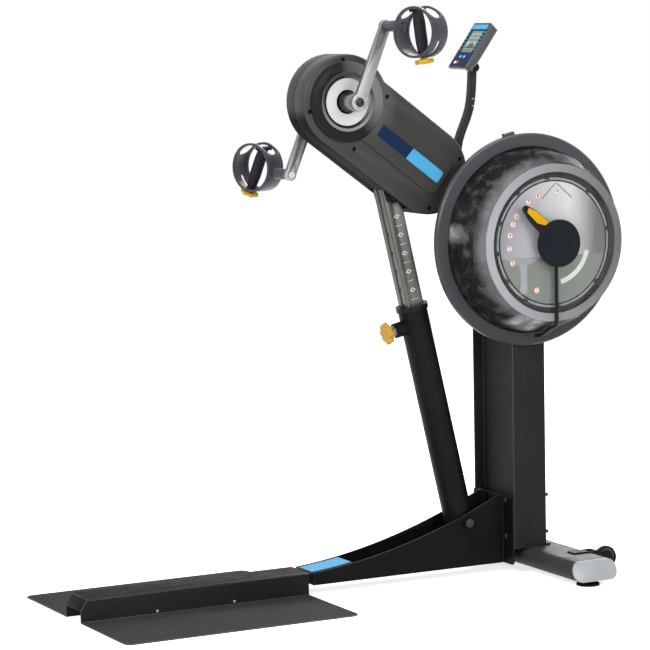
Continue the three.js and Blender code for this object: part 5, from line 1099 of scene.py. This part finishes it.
def draped_panel(name, node, start, end, half_width, look):
    """A thin panel that follows a node's top along X."""
    bm = bmesh.new()
    rows = []
    for step in range(PANEL_STEPS + 1):
        x = start + (end - start) * step / PANEL_STEPS
        height = seat(node, (x, 0, 1), (0, 0, -1)).z
        rows.append([
            bm.verts.new((x, side * half_width, height + lift))
            for side, lift in ((-1, 0), (-1, FILM), (1, FILM), (1, 0))
        ])
    for first, second in zip(rows, rows[1:]):
        bridge(bm, first, second)
    bm.faces.new(rows[0])
    bm.faces.new(rows[-1])
    new_piece(name, bm, look, nodes[node]["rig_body"])


# The whole machine
def dress_nodes():
    """Looks of the nodes, then their own shapes with eased edges and true circles."""
    for name, look in NODE_LOOKS.items():
        node = nodes[name]
        node.data.materials.clear()
        node.data.materials.append(LOOKS[look])
    for name, width in EASED.items():
        softened(name, width)
    for name in TANK_TURNED:
        turned_again(name, TANK, FINE_SIDES)
    for side, _ in SIDES:
        turned_again("hub_trim_" + side, CRANK, FINE_SIDES)


def dress_housing():
    for index, (along, rise) in enumerate(SCREW_PLACES):
        for side, sign in SIDES:
            origin = ARM @ Vector((along, -sign * OUTSIDE, rise))
            name = f"shell_screw_{side}_{index}"
            bolt_on(name, "housing_" + side, origin, (0, sign, 0), SCREW_RADIUS, "black_moulding")
    film("label_dark", "housing_near", LABEL_DARK, ARM, "navy_film")
    film("label_light", "housing_near", LABEL_LIGHT, ARM, "light_blue_film")
    for side, sign in SIDES:
        inward = (0, sign, 0)
        origin = crank - sign * OUTSIDE * ACROSS
        bolt_on("crank_bolt_" + side, "crank_axle", origin, inward, CRANK_BOLT_RADIUS)
        low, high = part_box("hub_trim_" + side)
        wide = (high[2] - low[2]) / 2
        housing = "housing_" + side
        face = seat(housing, origin + (wide + TRIM_CLEAR) * UP, inward).y
        bevel = [(wide + out, face - sign * rise) for out, rise in TRIM_BEVEL]
        lathe("trim_bevel_" + side, bevel, "bevel_moulding", nodes[housing]["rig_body"], CRANK)


def dress_dial():
    """Numbers in rings, struts and seams of the dial, which all lie on its plate."""
    for number, degrees in enumerate(NUMBER_ANGLES, 1):
        turn = math.radians(degrees)
        x, z = NUMBER_RADIUS * math.cos(turn), NUMBER_RADIUS * math.sin(turn)
        spot = placed(TANK, x, 0, z)
        for name, width, look, lift in (
            ("ring", NUMBER_RING_WIDTH, "orange_print", PRINT / 2),
            ("disc", NUMBER_RING - PRINT, "white_print", 0),
        ):
            ring_print(
                f"number_{name}_{number}", "dial_plate", spot, NUMBER_RING, width, look, lift
            )
        place = spot @ Matrix.Translation((0, depth_of("dial_plate", spot, 0, 0) - PRINT, 0))
        print_number(f"number_{number}", number, "base", place)
        inward = spot @ Matrix.Rotation(-turn, 4, "Y")
        name = f"number_mark_{number}"
        film(name, "dial_plate", NUMBER_ARROW, inward, "orange_print", thickness=PRINT)
    for name, start, end, width, look in DIAL_BARS:
        film("dial_" + name, "dial_plate", bar_between(start, end, width), TANK, look, end, PRINT)
    film("dial_fork", "dial_plate", DIAL_FORK, TANK, "lilac_print", thickness=PRINT / 4)
    arc = [
        (radius * math.cos(turn), radius * math.sin(turn))
        for radius, turns in ((ARC_OUTER, ARC_TURNS), (ARC_INNER, ARC_TURNS[::-1]))
        for turn in turns
    ]
    film("dial_arc", "dial_plate", arc, TANK, "pale_print", thickness=PRINT)
    film("lever_inlay", "level_lever", LEVER_INLAY, LEVER, "lever_yellow", INLAY_SPOT, FILM * 2)


def dress_reservoir():
    """Gasket, flange and clips round the reservoir's face, and the sleeve on its boss."""
    lathe("reservoir_seal", RESERVOIR_SEAL, "black_moulding", "base", TANK, WIDE_STEPS)
    lathe("reservoir_flange", RESERVOIR_FLANGE, "reservoir_flange", "base", TANK, WIDE_STEPS)
    clip = moved(rounded_outline(*CLIP_SIZE), CLIP_RADIUS, 0)
    for index, degrees in enumerate(CLIP_ANGLES):
        spot = placed(TANK, 0, CLIP_BACK, 0, -math.radians(degrees))
        name = f"reservoir_clip_{index}"
        plate(name, clip, CLIP_THICKNESS, CLIP_EDGE, "black_moulding", "base", spot)
    lathe("boss_sleeve", BOSS_SLEEVE, "clear_blades", "base", TANK)


def dress_mast():
    for side, turn in (("near", 0), ("far", math.pi)):
        for index in range(MARK_COUNT):
            up = Matrix.Translation((0, 0, MARK_FIRST + index * MARK_PITCH))
            spot = MAST @ up @ Matrix.Rotation(turn, 4, "Z")
            place = f"{side}_{index}"
            ring_print("mark_" + place, "mast_post", spot, MARK_RADIUS, MARK_WIDTH, "white_print")
            for name, size, x, z in (
                (f"tick_{place}_0", TICK_SIZE, -TICK_RADIUS, 0),
                (f"tick_{place}_2", TICK_SIZE, TICK_RADIUS, 0),
                ("line_" + place, LINE_SIZE, 0, -MARK_PITCH / 2),
            ):
                mark(name, "mast_post", size, x, z, spot, "white_print")


def dress_console():
    mark("console_header", "console_face", HEADER_SIZE, 0, HEADER_HEIGHT, FACE, "light_blue_film",
         FILM / 2)
    screen = "console_screen"
    mark("graph_field", screen, GRAPH_SIZE, 0, GRAPH_HEIGHT, FACE, "screen_pale", PRINT / 2)
    for index, steps in enumerate(GRAPH_BARS):
        high = steps * GRAPH_STEP
        x, z = GRAPH_START + index * GRAPH_BAR_PITCH, GRAPH_FOOT + high / 2
        size = (GRAPH_BAR_WIDTH, high, GRAPH_BAR_CORNER)
        mark(f"graph_{index}", screen, size, x, z, FACE, "dark_print")
    for row, z in enumerate(DISPLAY_LINES):
        mark(f"display_line_{row}", screen, DISPLAY_LINE_SIZE, 0, z, FACE, "screen_pale")
    for column in range(4):
        for row in range(2):
            x, z = READING_START + column * READING_PITCH, READING_TOP - row * READING_DROP
            mark(f"reading_{row}_{column}", screen, READING_SIZE, x, z, FACE, "screen_pale")
    for side in (-1, 1):
        for index in range(6):
            x, z = side * KEY_DOT_SIDE, KEY_DOT_FIRST + index * KEY_DOT_PITCH
            name = f"key_dot_{side + 1}_{index}"
            mark(name, "console_face", KEY_DOT_SIZE, x, z, FACE, "key_blue", FILM / 2)
    for side in (-1, 1):
        place = seat("console_body", console_hinge + side * OUTSIDE * ACROSS, -side * ACROSS)
        matrix = facing(place, side * ACROSS)
        for name, profile, look in (
            ("cap", HINGE_CAP, "dark_bolt_steel"), ("plug", HINGE_PLUG, "black_moulding"),
        ):
            name = f"hinge_{name}_{side + 1}"
            lathe(name, profile, look, "console", matrix, CAP_STEPS, closed=False)
    outline = rounded_outline(*STEM_CLIP_SIZE)
    for index, height in enumerate(STEM_CLIP_HEIGHTS):
        spot = seat("console_stem", (STEM_CLIP_X, -OUTSIDE, height), (0, 1, 0))
        matrix = facing(spot, (0, -1, 0))
        name = f"stem_clip_{index}"
        plate(name, outline, STEM_CLIP_THICKNESS, STEM_CLIP_EDGE, "cap_silver", "arm", matrix)


def dress_base():
    draped_panel("lid_panel", "base_channel", LID_PANEL_START, LID_PANEL_END, LID_PANEL_HALF,
                 "light_blue_film")
    for side, tread in ((-1, "platform_near"), (1, "platform_far")):
        for index, height in enumerate(FLANGE_BOLT_HEIGHTS):
            name = f"flange_bolt_{side + 1}_{index}"
            origin = (FLANGE_BOLT_START, side * FLANGE_BOLT_SIDE, height)
            bolt_on(name, "base_channel", origin, (1, 0, 0), FLANGE_BOLT_RADIUS)
        for index, height in enumerate(COLUMN_BOLT_HEIGHTS):
            name = f"column_bolt_{side + 1}_{index}"
            spot = seat("column", (1, side * COLUMN_BOLT_SIDE, height), (-1, 0, 0))
            place = facing(spot, (1, 0, 0))
            lathe(name, COLUMN_BOLT, "dark_bolt_steel", "base", place, SMALL_STEPS, closed=False)
        for index, x in enumerate(BEAM_BOLT_PLACES):
            name = f"beam_bolt_{side + 1}_{index}"
            origin = (x, side * OUTSIDE, BEAM_BOLT_HEIGHT)
            bolt_on(name, tread, origin, (0, -side, 0), BEAM_BOLT_RADIUS, "bright_steel")
    for name, _ in SIDES:
        wheel = "transport_wheel_" + name
        axle = Vector(joints["wheel_turn_" + name]["pos_m"])
        for end in (-1, 1):
            rim = seat(wheel, axle + Vector((WHEEL_RIM_MIDDLE, end * 0.1, 0)), (0, -end, 0))
            out = end * WHEEL_RIM_PROUD
            profile = [(WHEEL_RIM_OUTER, 0), (WHEEL_RIM_OUTER, out), (WHEEL_RIM_INNER, out),
                       (WHEEL_RIM_INNER, 0)]
            place = Matrix.Translation((axle.x, rim.y, axle.z))
            piece = f"wheel_trim_{name}_{end + 1}"
            lathe(piece, profile, "wheel_rim", "wheel_" + name, place, CAP_STEPS)


bpy.context.scene.view_settings.view_transform = "Standard"
make_camera()
make_world()
for lamp in LAMPS:
    make_lamp(*lamp)
make_floor()
dress_nodes()
dress_housing()
dress_dial()
dress_reservoir()
dress_mast()
dress_console()
dress_base()
